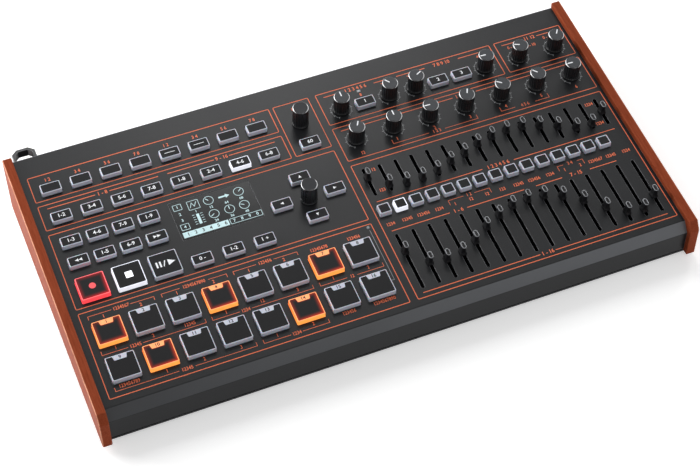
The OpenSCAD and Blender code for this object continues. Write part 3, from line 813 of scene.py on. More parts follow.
class StageOperator(bpy.types.Operator):
    """Build the floor, the lamps and the camera"""

    bl_idname = "drum.stage"
    bl_label = "Stage"

    CAMERA_AT = (-0.3523, -0.87355, 1.11103)
    CAMERA_TURN, CAMERA_FALL, CAMERA_ROLL = 22.13, 50.0, -0.03

    def execute(self, context):
        settings = context.scene.drum_stage
        self.lay_floor(settings)
        self.light_world(context, settings)
        self.add_lamps(settings)
        self.aim_camera(context, settings)
        context.scene.view_settings.view_transform = "Standard"
        return {"FINISHED"}

    def lay_floor(self, settings):
        """A pale floor that stays white to the eye and keeps the object's shadow."""
        mesh = bpy.data.meshes.new("floor")
        reach = 4.0
        corners = [(-reach, -reach, 0), (reach, -reach, 0), (reach, reach, 0), (-reach, reach, 0)]
        mesh.from_pydata(corners, [], [(0, 1, 2, 3)])
        floor = bpy.data.objects.new("floor", mesh)
        bpy.context.scene.collection.objects.link(floor)
        material = bpy.data.materials.new("Floor")
        material.use_nodes = True
        tree = material.node_tree
        shader = tree.nodes["Principled BSDF"]
        shader.inputs["Base Color"].default_value = opaque(settings.floor)
        shader.inputs["Roughness"].default_value = 0.9
        shader.inputs["Specular IOR Level"].default_value = 0.1
        rays = add(tree, "ShaderNodeLightPath").outputs
        seen = maths(tree, "MAXIMUM", rays["Is Camera Ray"], rays["Is Glossy Ray"])
        seen = maths(tree, "MAXIMUM", seen, rays["Is Transmission Ray"])
        lift = add(tree, "ShaderNodeEmission", {"Strength": maths(tree, "MULTIPLY", seen, 0.38)})
        both = add(tree, "ShaderNodeAddShader", {0: shader.outputs[0], 1: lift.outputs[0]})
        tree.links.new(both.outputs[0], tree.nodes["Material Output"].inputs["Surface"])
        mesh.materials.append(material)

    def light_world(self, context, settings):
        """Soft light from all round, seen as white."""
        world = bpy.data.worlds.new("Studio")
        context.scene.world = world
        world.use_nodes = True
        tree = world.node_tree
        rays = add(tree, "ShaderNodeLightPath").outputs
        seen = maths(tree, "MAXIMUM", rays["Is Camera Ray"], rays["Is Glossy Ray"])
        seen = maths(tree, "MAXIMUM", seen, rays["Is Transmission Ray"])
        ambient = tree.nodes["Background"]
        ambient.inputs["Color"].default_value = (1.0, 1.0, 1.0, 1.0)
        ambient.inputs["Strength"].default_value = settings.ambient
        white = add(tree, "ShaderNodeBackground", {"Color": (1.0, 1.0, 1.0, 1.0), "Strength": 1.0})
        mixed = add(
            tree, "ShaderNodeMixShader", {0: seen, 1: ambient.outputs[0], 2: white.outputs[0]}
        )
        tree.links.new(mixed.outputs[0], tree.nodes["World Output"].inputs["Surface"])

    def add_lamps(self, settings):
        """A large lamp behind and to the right, and softer ones on the left and in front."""
        for name, power, size, at in (
            ("key lamp", settings.key, (0.8, 0.8), (0.48, 1.5, 1.75)),
            ("fill lamp", settings.fill, (0.6, 0.6), (-1.0, 0.75, 0.28)),
            ("front lamp", settings.front, (1.0, 1.0), (0.5, -1.6, 1.0)),
            ("left strip lamp", settings.strip, (0.4, 0.7), (-0.75, 1.1, 1.2)),
            ("right strip lamp", settings.strip, (0.4, 0.7), (1.35, 1.1, 0.6)),
        ):
            data = bpy.data.lights.new(name, "AREA")
            data.energy, data.shape = power, "RECTANGLE"
            data.size, data.size_y = size
            lamp = bpy.data.objects.new(name, data)
            bpy.context.scene.collection.objects.link(lamp)
            lamp.location = at
            direction = Vector((0.0, 0.0, 0.05)) - Vector(at)
            lamp.rotation_euler = direction.to_track_quat("-Z", "Y").to_euler()

    def aim_camera(self, context, settings):
        """The camera stands in front, on the left, and looks down at the panel."""
        data = bpy.data.cameras.new("camera")
        data.lens, data.sensor_width, data.clip_start = settings.lens, 36.0, 0.01
        camera = bpy.data.objects.new("camera", data)
        context.scene.collection.objects.link(camera)
        turn, fall, roll = (
            math.radians(a) for a in (self.CAMERA_TURN, self.CAMERA_FALL, self.CAMERA_ROLL)
        )
        ahead = Vector(
            (math.sin(turn) * math.cos(fall), math.cos(turn) * math.cos(fall), -math.sin(fall))
        )
        side = Vector((math.cos(turn), -math.sin(turn), 0.0))
        up = side.cross(ahead)
        side, up = (
            side * math.cos(roll) + up * math.sin(roll),
            up * math.cos(roll) - side * math.sin(roll),
        )
        axes = Matrix((side, up, -ahead)).transposed().to_4x4()
        camera.matrix_world = Matrix.Translation(self.CAMERA_AT) @ axes
        context.scene.camera = camera


class CoverOperator(bpy.types.Operator):
    """Fold the metal cover and pierce it for every control and socket"""

    bl_idname = "drum.cover"
    bl_label = "Top cover"

    ARC_STEP = 15.0
    GAP = 0.3
    KEY_R = 1.0

    def execute(self, context):
        settings = context.scene.drum_body
        bm = bmesh.new()
        self.fold_path(settings.fold / MM)
        holes = self.panel_holes() + self.rear_holes()
        width = WIDTH - 2 * CHEEK_T
        end = self.stations[-1][0]
        outline = self.with_stations(width)
        folds = [((0.0, s), (width, s)) for s, _, _ in self.stations[1:-1]]
        self.sheet(bm, outline, holes, folds, settings.deburr / MM)
        self.add_flanges(bm)
        # Painted shade: the walls inside the cut-outs are near-black, painted for the shade inside
        # the holes.
        cut = surface(
            "Painted shade in cut-outs", linear("0d0d0e"), 0.6, specular=0.05, grain=(3200.0, 0.3, 0.012)
        )
        piece(
            "top_cover", bm, GROUND, HOUSING, [painted_metal(), cut],
            replaces=["top_panel"], crease=28,
        )
        return {"FINISHED"}

    def with_stations(self, width):
        """The flat sheet's outline, with a corner where each fold line ends."""
        marks = [s for s, _, _ in self.stations]
        return [(0.0, 0.0), (width, 0.0)] + [(width, s) for s in marks[1:]] + [
            (0.0, s) for s in marks[:0:-1]
        ]

    def fold_path(self, radius):
        """Stations along the sheet: length so far, outer point (y, z) and outward normal."""
        back_z = PANEL_FOOT.y + PANEL_L * math.sin(TILT)
        front, back, cover_z = COVER_LOW.y, COVER_HIGH.y, FOOT_H + PLATE_T
        corners = [
            Vector(p)
            for p in (
                (front + FLANGE_D, cover_z), (front, cover_z),
                (front, PANEL_FOOT.y - BEVEL_RISE), PANEL_FOOT, (back, back_z),
                (back, cover_z), (back - FLANGE_D, cover_z),
            )
        ]
        self.stations, self.starts = [], []
        total, last = 0.0, corners[0]

        def note(point, normal):
            nonlocal total, last
            total += (point - last).length
            last = point
            self.stations.append((total, point, normal))

        first = (corners[1] - corners[0]).normalized()
        note(corners[0], Vector((-first.y, first.x)))
        for before, corner, after in zip(corners, corners[1:], corners[2:]):
            a, b = (corner - before).normalized(), (after - corner).normalized()
            bend = a.angle_signed(b)
            cut = radius * math.tan(abs(bend) / 2)
            steps = max(2, round(math.degrees(abs(bend)) / self.ARC_STEP))
            normal = Vector((-a.y, a.x))
            centre = corner - a * cut - normal * radius
            for i in range(steps + 1):
                turn = Matrix.Rotation(-bend * i / steps, 2)
                n = turn @ normal
                note(centre + n * radius, n)
            self.starts.append(total - cut)
        final = (corners[-1] - corners[-2]).normalized()
        note(corners[-1], Vector((-final.y, final.x)))

    def along(self, s):
        """The outer point and normal at a length along the sheet."""
        for (s0, p0, n0), (s1, p1, n1) in zip(self.stations, self.stations[1:]):
            if s <= s1 + 1e-6:
                t = (s - s0) / (s1 - s0) if s1 > s0 else 0.0
                return p0.lerp(p1, t), n0.lerp(n1, t).normalized()
        return self.stations[-1][1], self.stations[-1][2]

    def sheet(self, bm, outline, holes, folds, edge):
        """The pierced sheet, its outer side and its inner one, and its cut ends."""

        def side(drop):
            def point(flat):
                p, n = self.along(flat.y)
                y, z = p - n * drop
                return Vector((COVER_LOW.x + flat.x, y, z))

            return point

        # The cut-out walls take material 1, the near-black painted shade.
        outer, inner = pierced(
            bm, outline, holes, folds, side(0.0), side(SHEET_T), edge, wall=1
        )
        skin(bm, outer, inner)

    def on_panel(self, u, v):
        """A place on the panel as a point of the flat sheet."""
        return u - CHEEK_T, self.starts[2] + v

    def hole(self, shape, u, v):
        """A hole of a shape, given as a function of how far it is grown."""
        x, y = self.on_panel(u, v)
        return lambda grown: shifted(shape(grown), x, y)

    def panel_holes(self):
        """Cut-outs for the keys, slots, knobs, window and lamps."""
        holes = []
        for node in KEY_NODES:
            for low, high in solids(node):
                w = high.x - low.x - 2 * KEY_FLANGE + 2 * self.GAP
                l = high.y - low.y - 2 * KEY_FLANGE + 2 * self.GAP
                holes.append(self.hole(
                    lambda grown, w=w, l=l: rounded(
                        w + 2 * grown, l + 2 * grown, self.KEY_R + grown
                    ),
                    *middle((low, high)),
                ))
        for low, high in solids("slider_bodies"):
            l = high.y - low.y - 2 * SLIDER_END
            holes.append(self.hole(
                lambda grown, l=l: rounded(
                    SLOT_W + 2 * grown, l + 2 * grown, SLOT_W / 2 + grown - 1e-3, 6
                ),
                *middle((low, high)),
            ))
        for solid in knob_solids():
            holes.append(self.hole(lambda grown: circle(4.1 + grown, 28), *middle(solid)))
        for low, high in solids("display_window"):
            w, l = high.x - low.x + 0.3, high.y - low.y + 0.3
            holes.append(self.hole(
                lambda grown, w=w, l=l: rounded(w + 2 * grown, l + 2 * grown, 0.4 + grown, 2),
                *middle((low, high)),
            ))
        return holes

    def rear_holes(self):
        """Cut-outs for the sockets and the power switch."""
        holes = []
        shapes = [(u, JACK_NOSE + self.GAP, 28) for u in JACK_U]
        shapes += [(u, MINI_NOSE + self.GAP, 20) for u in MINI_U]
        shapes += [(u, DIN_HOLE, 36) for u in DIN_U]
        shapes += [(INLET_U, INLET_NOSE + self.GAP, 24)]
        y = self.starts[3] + (self.corner_height() - FOOT_H - SOCKET_RISE)
        for u, radius, steps in shapes:
            holes.append(
                lambda grown, u=u, r=radius, n=steps: shifted(
                    circle(r + grown, n), u - CHEEK_T, y
                )
            )
        for u, size in ((DATA_U, DATA_NOSE), (ROCKER_U, SWITCH_FRAME)):
            w, l = size[0] + 2 * self.GAP, size[1] + 2 * self.GAP
            holes.append(
                lambda grown, u=u, w=w, l=l: shifted(
                    rounded(w + 2 * grown, l + 2 * grown, 0.5 + grown, 2), u - CHEEK_T, y
                )
            )
        return holes

    def corner_height(self):
        """Height of the edge between the panel and the rear face."""
        return PANEL_FOOT.y + PANEL_L * math.sin(TILT)

    def add_flanges(self, bm):
        """The side flanges that the cheeks are screwed to, and the posts of the board."""
        before = set(bm.verts)
        for x in (CHEEK_T, WIDTH - CHEEK_T - SHEET_T):
            box(
                bm, (x, SHEET_T, -SHEET_T - SIDE_FLANGE_H),
                (x + SHEET_T, PANEL_L - 2 * SHEET_T, -SHEET_T - 0.02), 0.2,
            )
        post_u = (CHEEK_T + SHEET_T + 4.2, 258.0, WIDTH - CHEEK_T - SHEET_T - 4.2)
        for u in post_u:
            for v in (10.0, 83.0, 156.0, 208.0):
                lathe(bm, [(2.1, -13.5), (2.3, -13.2), (2.3, -SHEET_T - 0.02)], u, v, 20)
        move(bm, before, GROUND.inverted() @ PANEL)


class CheekOperator(bpy.types.Operator):
    """Shape the two wooden cheeks"""

    bl_idname = "drum.cheeks"
    bl_label = "Wooden cheeks"

    def execute(self, context):
        edge = context.scene.drum_body.wood_edge / MM
        for node in ("cheek_left", "cheek_right"):
            low, high = (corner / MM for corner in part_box(node))
            points = [v.co / MM for v in frame["nodes"][node].data.vertices]
            flat = [Vector((p.y, p.z)) for p in points]
            outline = [tuple(flat[i]) for i in convex_hull_2d(flat)]
            bm = bmesh.new()
            extruded(bm, outline, low.x, high.x, "X", 0.0)
            bmesh.ops.remove_doubles(bm, verts=bm.verts, dist=1e-3)
            bmesh.ops.dissolve_limit(bm, angle_limit=0.02, verts=bm.verts, edges=bm.edges)
            # Bevels take material 1, paler wood as a painted highlight; those that don't face
            # outwards go back to plain wood below.
            bmesh.ops.bevel(
                bm, geom=list(bm.edges), offset=edge, segments=3, profile=0.5, affect="EDGES",
                material=1,
            )
            outward = 1.0 if low.x > 0 else -1.0
            for face in bm.faces:
                if face.normal.x * outward < 0.25:
                    face.material_index = 0
            piece(
                f"{node}_wood", bm, GROUND, HOUSING,
                [stained_wood(), stained_wood("Wood edge highlight", linear("e0a284"))],
                replaces=[node],
            )
        return {"FINISHED"}


class PrintOperator(bpy.types.Operator):
    """Print the frames, brackets, labels and dial marks on the panel"""

    bl_idname = "drum.print"
    bl_label = "Panel print"

    INK = (0.004, 0.03)
    FRAMES = (
        (14.0, 198.4, 219.6, 223.9), (14.0, 169.3, 219.6, 193.8), (223.6, 169.3, 254.5, 223.9),
        (14.0, 90.2, 254.5, 164.3), (14.0, 6.4, 254.5, 85.8), (261.3, 189.9, 420.6, 223.9),
        (425.3, 189.9, 487.1, 223.9), (261.3, 149.8, 487.1, 185.3),
        (261.3, 6.4, 487.1, 144.5),
    )
    # Title lines as (v, [(from, to), ...]) and their figures as (text, u, v, size)
    TITLES = (
        (189.8, ((20.8, 60.0), (72.0, 112.6), (120.5, 160.0), (173.0, 212.5))),
        (219.6, ((267.3, 279.0), (312.5, 323.0), (333.0, 359.0), (390.0, 409.0),
                 (431.0, 450.0), (464.0, 475.0))),
        (181.2, ((267.3, 368.0), (389.5, 473.0))),
        (103.9, ((267.3, 360.0), (388.2, 480.5))),
        (73.2, ((267.3, 317.5), (332.7, 383.0), (393.6, 417.1), (442.3, 466.4))),
        (10.7, ((267.3, 367.5), (380.9, 480.5))),
    )
    TITLE_FIGURES = (
        ("1 - 8", 66.0, 189.8), ("9 - 16", 166.6, 189.8), ("1 2 3 4 5 6", 295.8, 219.6),
        ("7 8 9 10", 374.5, 219.6), ("11 12", 457.0, 219.6), ("1 2 3 4 5", 378.6, 181.2),
        ("1 2 3 4 5 6", 374.2, 103.9), ("1 - 6", 325.1, 73.2), ("7 - 15", 429.8, 73.2),
        ("1 - 16", 374.2, 10.7),
    )
    # Brackets as (v, leg, [(from, to), ...]): the legs point to the keys they group
    BRACKETS = (
        (81.2, -3.2, ((20.2, 39.0), (54.0, 72.7))), (81.2, -3.2, ((78.7, 93.6), (116.8, 131.6))),
        (81.2, -3.2, ((137.1, 156.2), (170.7, 190.0))),
        (44.5, 3.5, ((20.2, 40.5), (52.3, 102.5))), (44.5, 3.5, ((107.8, 129.5), (139.3, 190.0))),
        (44.5, 3.5, ((195.7, 217.7), (226.2, 248.6))),
        (11.2, 3.3, ((20.2, 69.5), (82.3, 131.4))), (11.2, 3.3, ((137.0, 158.6), (168.0, 190.0))),
        (84.7, -4.7, ((321.1, 334.5), (344.1, 357.3))),
        (84.7, -4.7, ((418.2, 423.6), (435.9, 440.9))),
        (153.8, 4.2, ((303.0, 334.5), (349.0, 379.0))),
        (153.8, 4.2, ((400.5, 413.0), (431.5, 444.5))),
    )
    FIGURES = (
        
         ("12", 222.0, 44.5), 
         ("1", 31.8, 77.8), ("2", 61.4, 77.8), ("1", 90.4, 77.8),
        ("2", 120.0, 77.8), ("1", 149.0, 77.8), ("2", 178.0, 77.8), 
         ("1", 31.8, 47.7), ("2", 61.4, 47.7), 
        ("1", 119.7, 47.7), ("12", 148.9, 47.7), ("3", 178.0, 47.7), ("1", 207.5, 47.7),
        ("2", 236.8, 47.7),  ("1", 61.2, 14.5), ("2", 90.5, 14.5),
        ("3", 119.8, 14.5), ("1", 148.8, 14.5), ("2", 178.0, 14.5), 
         ("1 2", 339.3, 84.7), ("3 4", 429.7, 84.7),
        ("1 2 3", 341.7, 153.8), ("4 5 6", 422.2, 153.8), ("1", 308.0, 157.6),
        ("2", 341.6, 157.6), ("3", 373.8, 157.6), ("12", 276.0, 154.0), ("4", 406.4, 157.6),
        ("5", 439.0, 157.6), ("6", 471.0, 156.0),  
          ("8", 297.5, 211.6), ("0 - 10", 455.0, 211.5),
        ("60", 239.2, 216.9), ("0", 276.2, 215.3), ("24", 319.4, 215.3), ("36", 343.0, 215.3),
        ("48", 407.1, 215.3), ("0 - 10", 438.9, 215.3), ("0 - 10", 472.4, 215.3),
    )

    # Long labels as (from, to, v), filled with figures
    LONG = (
        (39.0, 54.0, 81.2), (94.2, 116.2, 81.2), (156.8, 170.1, 81.2), (198.4, 215.9, 78.0),
        (230.3, 242.7, 78.0), (41.1, 51.7, 44.5), (129.9, 138.9, 44.5), (84.8, 96.0, 47.7),
        (70.1, 81.7, 11.2), (159.0, 167.6, 11.2), (22.3, 41.4, 14.5), (201.0, 213.6, 14.5),
        (225.0, 248.2, 14.5), (265.0, 273.5, 79.8), (278.2, 288.6, 79.8), (290.3, 304.5, 79.8),
        (306.8, 315.5, 79.8), (336.4, 341.8, 79.8), (350.9, 355.5, 79.8), (363.5, 370.2, 79.8),
        (375.6, 386.4, 79.8), (388.6, 401.4, 79.8), (405.0, 413.6, 79.8), (443.2, 457.7, 79.8),
        (459.5, 469.5, 79.8), (474.0, 483.0, 79.8), (274.4, 279.8, 135.0), (272.3, 280.0, 113.4),
        (467.5, 476.0, 134.6), (467.3, 476.0, 113.4),
    )
    CHARACTER = 2.2

    def execute(self, context):
        settings = context.scene.drum_body
        line, thin = settings.line / MM, settings.thin_line / MM
        bm = bmesh.new()
        for u0, v0, u1, v1 in self.FRAMES:
            self.frame(bm, u0, v0, u1, v1, line)
        for v, spans in self.TITLES:
            for u0, u1 in spans:
                slab(bm, stroke([(u0, v), (u1, v)], line), *self.INK)
        for v, leg, spans in self.BRACKETS:
            self.bracket(bm, v, leg, spans, thin)
        for text, u, v in self.TITLE_FIGURES:
            write(bm, text, u, v, self.INK[1] / 2, 5.0, wide=0.9)
        for text, u, v in self.FIGURES:
            write(bm, text, u, v, self.INK[1] / 2, 4.4, wide=0.82)
        for i, solid in enumerate(solids("upper_keys")[:8]):
            u, v = middle(solid)
            text = ("1 2", "3 4", "5 6", "7 8")[i % 4]
            write(bm, text, u, v + 10.8, self.INK[1] / 2, 4.6, wide=0.85)
        for u0, u1, v in self.LONG:
            count = max(2, round((u1 - u0) / self.CHARACTER))
            text = "1234567890"[:count]
            write(bm, text, (u0 + u1) / 2, v, self.INK[1] / 2, 4.3, wide=0.86)
        for text, u in (("1", 325.3), ("1", 422.7), ("2", 436.9)):
            write(bm, text, u, 79.8, self.INK[1] / 2, 4.3, wide=0.8)
        ink = printed("Orange ink", settings.ink)
        piece("panel_print", bm, PANEL, HOUSING, [ink])
        self.dial_marks(settings)
        return {"FINISHED"}

    def frame(self, bm, u0, v0, u1, v1, width):
        """A rectangular line with rounded corners."""
        x, y, w, l = (u0 + u1) / 2, (v0 + v1) / 2, u1 - u0, v1 - v0
        out = shifted(rounded(w + width, l + width, 1.4), x, y)
        into = shifted(rounded(w - width, l - width, 0.6), x, y)
        low, high = self.INK
        loft(bm, [(out, low, 0), (out, high, 0), (into, high, 0), (into, low, 0)], hollow=True)

    def bracket(self, bm, v, leg, spans, width):
        """Two half brackets on either side of their figures."""
        (a, b), (c, d) = spans
        slab(bm, stroke([(b, v), (a, v), (a, v + leg)], width), *self.INK)
        slab(bm, stroke([(c, v), (d, v), (d, v + leg)], width), *self.INK)

    def dial_marks(self, settings):
        """Marks round each knob with a pointer, and the fine line beside the pads."""
        bm = bmesh.new()
        for name in TONE_KNOBS + TUNE_KNOBS:
            u, v = middle(solids(name)[0])
            arc = [math.radians(-150 + 7.5 * i) for i in range(41)]
            arc = [(8.7 * math.sin(a), 8.7 * math.cos(a)) for a in arc]
            slab(bm, shifted(stroke(arc[::-1], 0.3), u, v), self.INK[0], self.INK[1] - 0.01)
            for i in range(11):
                mark = stroke([(0.0, 8.0), (0.0, 9.8)], 0.5)
                slab(bm, turned(mark, 150 - 30 * i, u, v), *self.INK)
        slab(bm, stroke([(248.6, 30.0), (251.3, 30.0), (251.3, 80.2)], 0.4), *self.INK)
        ink = printed("Grey ink", settings.scale_ink)
        piece("dial_marks", bm, PANEL, HOUSING, [ink])


def knob_solids():
    """The knobs on the panel, each with its shaft."""
    return [solids(name)[0] for name in TONE_KNOBS + TUNE_KNOBS + ENCODERS]


class KeyMaker:
    """Draws keys: a milky body with a flange and stem, and a black top set in its rim."""

    def __init__(self, settings):
        self.rim, self.sink = settings.rim / MM, settings.sink / MM
        self.rounding = settings.rounding / MM

    def body(self, bm, solid, corner, material=0, draft=0.0, glow=None, front=None):
        """The milky body up to the foot of its top, over its flange and stem. A lit one holds
        how bright its rim is, and how near the front each corner lies."""
        before = set(bm.verts)
        low, high = solid
        x, y = middle(solid)
        w, l = high.x - low.x - 2 * KEY_FLANGE, high.y - low.y - 2 * KEY_FLANGE
        rim_h, r = high.z - self.sink, self.rounding

        def outline(grown):
            return shifted(rounded(w + 2 * grown, l + 2 * grown, corner + grown, 5), x, y)

        levels = [
            (outline(KEY_FLANGE), FLANGE_TOP - FLANGE_T, material),
            (outline(KEY_FLANGE), FLANGE_TOP, material), (outline(0.0), FLANGE_TOP, material),
            (outline(0.0), 0.3, material), (outline(-draft), rim_h - r, material),
        ]
        for i in range(1, 4):
            a = math.radians(30 * i)
            grown = -draft - r * (1 - math.cos(a))
            levels.append((outline(grown), rim_h - r + r * math.sin(a), material))
        loft(bm, levels)
        stem_top = FLANGE_TOP - FLANGE_T
        lathe(bm, [(STEM_R, low.z), (STEM_R, stem_top)], x, y, 16, material)
        if glow is not None:
            for v in added(bm, before):
                v[glow] = 1.0 if v.co.z > rim_h - 0.3 * r else 0.0
                v[front] = min(1.0, max(0.0, 0.5 - (v.co.y - y) / l))
        return x, y, w - 2 * draft, l - 2 * draft, high.z

    @staticmethod
    def plain(w, l, rim, corner):
        """The outline of a plain top inside its rim, as a function of how far it is inset."""
        return lambda inset: rounded(
            w - 2 * rim - 2 * inset, l - 2 * rim - 2 * inset, max(0.1, corner - inset), 4
        )

    def top(self, bm, x, y, outline, height, material=1, glow=None):
        """The black top. outline is a function of how far it is inset. A lit one holds a glow
        value that falls from its edge inwards, slowest at the front and the right."""
        foot = height - self.sink - 0.4
        levels = [(0.0, foot), (0.0, height - 0.14), (0.05, height - 0.04), (0.14, height)]
        values = [1.0] * 4
        if glow is not None:
            steps = ((0.5, 0.8), (1.2, 0.55), (2.2, 0.28), (3.5, 0.0))
            levels += [(inset, height) for inset, _ in steps]
            values += [value for _, value in steps]
        before = set(bm.verts)
        plates = [shifted(outline(inset), x, y) for inset, _ in levels]
        loft(bm, [(plate, h, material) for plate, (_, h) in zip(plates, levels)])
        if glow is None:
            return
        reach = max(px - x for px, _ in plates[0])
        made = iter([v for v in bm.verts if v not in before])
        for plate, value in zip(plates, values):
            for px, py in plate:
                lean = 0.72 + 0.28 * ((px - x) - (py - y)) / (2 * reach)
                next(made)[glow] = value * max(0.3, lean)


def arrow(size, turn=0.0):
    """A solid triangle that points right, turned."""
    return turned([(-0.5 * size, -0.5 * size), (0.55 * size, 0.0), (-0.5 * size, 0.5 * size)], turn)


class PadOperator(bpy.types.Operator):
    """Make the two rows of pads and the three transport keys"""

    bl_idname = "drum.pads"
    bl_label = "Pads and transport keys"

    LIT_REAR, LIT_FRONT = (0, 3, 6), (1, 5)
    CORNER = 1.0
    TAB = (11.4, 10.0, 3.9)

    def execute(self, context):
        settings = context.scene.drum_controls
        milky, black = milky_plastic(settings), key_black(settings)
        dark = printed("Dark ink", linear("1c1c1f"))
        lit = glowing(
            "Lit amber", linear("6a4a30"), settings.amber, 1.2, linear("ffa066"), linear("ff9a44")
        )
        lit_top = glow_through("Black top lit amber", settings.black, linear("ff4410"), 0.72)
        for node, first, lit_pads in (
            ("pads_rear_row", 1, self.LIT_REAR), ("pads_front_row", 9, self.LIT_FRONT),
        ):
            bm = bmesh.new()
            glow = bm.verts.layers.float.new("glow")
            front = bm.verts.layers.float.new("front")
            maker = KeyMaker(settings)
            for i, solid in enumerate(solids(node)):
                lamp = (glow, front) if i in lit_pads else (None, None)
                x, y, w, l, h = maker.body(
                    bm, solid, self.CORNER, 3 if lamp[0] else 0, glow=lamp[0], front=lamp[1]
                )
                size = w - 2 * maker.rim, l - 2 * maker.rim
                maker.top(
                    bm, x, y, lambda inset, size=size: self.notched(*size, inset), h,
                    4 if lamp[0] else 1, lamp[0],
                )
                tab_y = y + size[1] / 2 - self.TAB[2] / 2 + 0.15
                write(bm, str(first + i), x, tab_y, h - maker.sink + 0.01, 4.2, 2)
            piece(
                f"{node}_finish", bm, PANEL, node,
                [milky, black, dark, lit, lit_top], replaces=[node],
            )
        self.transport(settings, milky, black)
        return {"FINISHED"}

    def notched(self, w, l, inset=0.0):
        """The outline of a pad's black top, with a notch for the numbered tab, all inset."""
        wide, narrow, deep = self.TAB
        points = rounded(w - 2 * inset, l - 2 * inset, max(0.1, 0.7 - inset), 3)
        back = [p for p in points if p[1] > 0]
        front = [p for p in points if p[1] <= 0]
        right = [p for p in back if p[0] > 0]
        left = [p for p in back if p[0] <= 0]
        grown = 0.35 * inset
        r, half, foot = 0.8 + grown, narrow / 2 + grown, l / 2 - deep - grown
        notch = [(wide / 2 + grown, l / 2 - inset)]
        for k in range(4):
            a = math.radians(-90 * k / 3)
            notch.append((half - r + r * math.cos(a), foot + r + r * math.sin(a)))
        notch += [(-px, py) for px, py in notch[::-1]]
        return right + notch + left + front

    def transport(self, settings, milky, black):
        """Record, stop and play."""
        white = glowing("Lit white", settings.milky, linear("e4e6ee"), 0.8)
        red = glowing("Lit red", linear("6a2a2a"), settings.red, 1.25, linear("ff6d72"))
        red_top = glow_through("Black top lit red", settings.black, linear("ff1220"), 0.75)
        mark = printed("White ink", settings.mark)
        dot = glowing("Lit dot", linear("6a2a2a"), linear("ff5a60"), 0.9)
        bright = glowing("Lit square", settings.milky, linear("ffffff"), 1.0)
        for node, body, top, ink in (
            ("record_key", red, red_top, dot), ("stop_key", white, black, bright),
            ("play_key", milky, black, mark),
        ):
            bm = bmesh.new()
            lamp = (None, None)
            if node == "record_key":
                lamp = tuple(bm.verts.layers.float.new(name) for name in ("glow", "front"))
            maker = KeyMaker(settings)
            x, y, w, l, h = maker.body(
                bm, solids(node)[0], self.CORNER, glow=lamp[0], front=lamp[1]
            )
            maker.top(bm, x, y, maker.plain(w, l, maker.rim, 0.7), h, 1, lamp[0])
            for shape in TRANSPORT_MARKS[node]:
                slab(bm, shifted(shape, x, y), h - 0.02, h + 0.02, material=2)
            piece(f"{node}_finish", bm, PANEL, node, [body, top, ink], replaces=[node])


TRANSPORT_MARKS = {
    "record_key": (circle(2.7, 32),),
    "stop_key": (rounded(5.8, 5.8, 0.4, 2),),
    "play_key": (
        shifted(rounded(1.5, 5.4, 0.2, 1), -6.6, 0), shifted(rounded(1.5, 5.4, 0.2, 1), -3.8, 0),
        stroke([(-1.6, -2.7), (0.4, 2.7)], 0.8), shifted(arrow(5.6), 5.2, 0),
    ),
}


def milky_plastic(settings):
    """Translucent plastic of the key bodies, unlit."""
    return surface(
        "Milky plastic", settings.milky, 0.38, grain=(1800.0, 0.06, 0.008), subsurface=0.25,
        handled=(45.0, 0.12), wear=(0.0004, 0.4), worn=linear("dedee8"),
    )


def key_black(settings):
    """Satin black of the key tops."""
    return surface(
        "Key black", settings.black, 0.42, specular=0.13, grain=(2200.0, 0.3, 0.02),
        handled=(40.0, 0.18), wear=(0.0004, 0.25), worn=linear("303136"),
    )


class KeyOperator(bpy.types.Operator):
    """Make the small keys and the voice keys"""

    bl_idname = "drum.keys"
    bl_label = "Small keys"

    CORNER = 1.0
    MARKS = {
        "upper_keys": ["", "", "", "", "_", "_", "", ""] + [
            "1-2", "3-4", "5-6", "7-8", "1-8", "2-4", "4-6", "6-8",
        ],
        "lower_keys": ["1-3", "4-6", "7-9", "1-9", "<<", "1-5", "6-9", ">>"],
        "cursor_keys": ["^", "<", ">", "v", "0 -", "1-2", "1 +"],
        "function_keys": ["1", "2", "3", "60"],
        "voice_keys": [""] * 15,
    }
    LIT = {"upper_keys": (14,), "voice_keys": (1,)}

    def execute(self, context):
        settings = context.scene.drum_controls
        milky, black = milky_plastic(settings), key_black(settings)
        mark = printed("White ink", settings.mark)
        white = glowing("Lit white", settings.milky, linear("e4e6ee"), 0.8)
        for node, marks in self.MARKS.items():
            bm = bmesh.new()
            maker = KeyMaker(settings)
            for i, solid in enumerate(solids(node)):
                lit = i in self.LIT.get(node, ())
                small = node == "voice_keys"
                x, y, w, l, h = maker.body(
                    bm, solid, self.CORNER, 3 if lit else 0, 0.2 if small else 0.0
                )
                rim = maker.rim + (0.15 if small else 0.0)
                maker.top(bm, x, y, maker.plain(w, l, rim, 0.5), h, 1)
                self.mark(bm, marks[i], x, y, h)
            piece(
                f"{node}_finish", bm, PANEL, node, [milky, black, mark, white],
                replaces=[node],
            )
        return {"FINISHED"}

    def mark(self, bm, text, x, y, h):
        """A key's sign, or its figure."""
        low, high = h - 0.02, h + 0.02
        turns = {">": 0.0, "^": 90.0, "<": 180.0, "v": 270.0}
        if text in turns:
            slab(bm, shifted(arrow(2.6, turns[text]), x, y), low, high, material=2)
        elif text in ("<<", ">>"):
            turn = turns[text[0]]
            for step in (-1.5, 1.5):
                slab(bm, shifted(arrow(2.8, turn), x + step, y), low, high, material=2)
        elif text == "_":
            slab(bm, shifted(stroke([(-4.4, 0), (4.4, 0)], 0.45), x, y), low, high, material=2)
        elif text:
            write(bm, text, x, y, h, 4.8, 2)


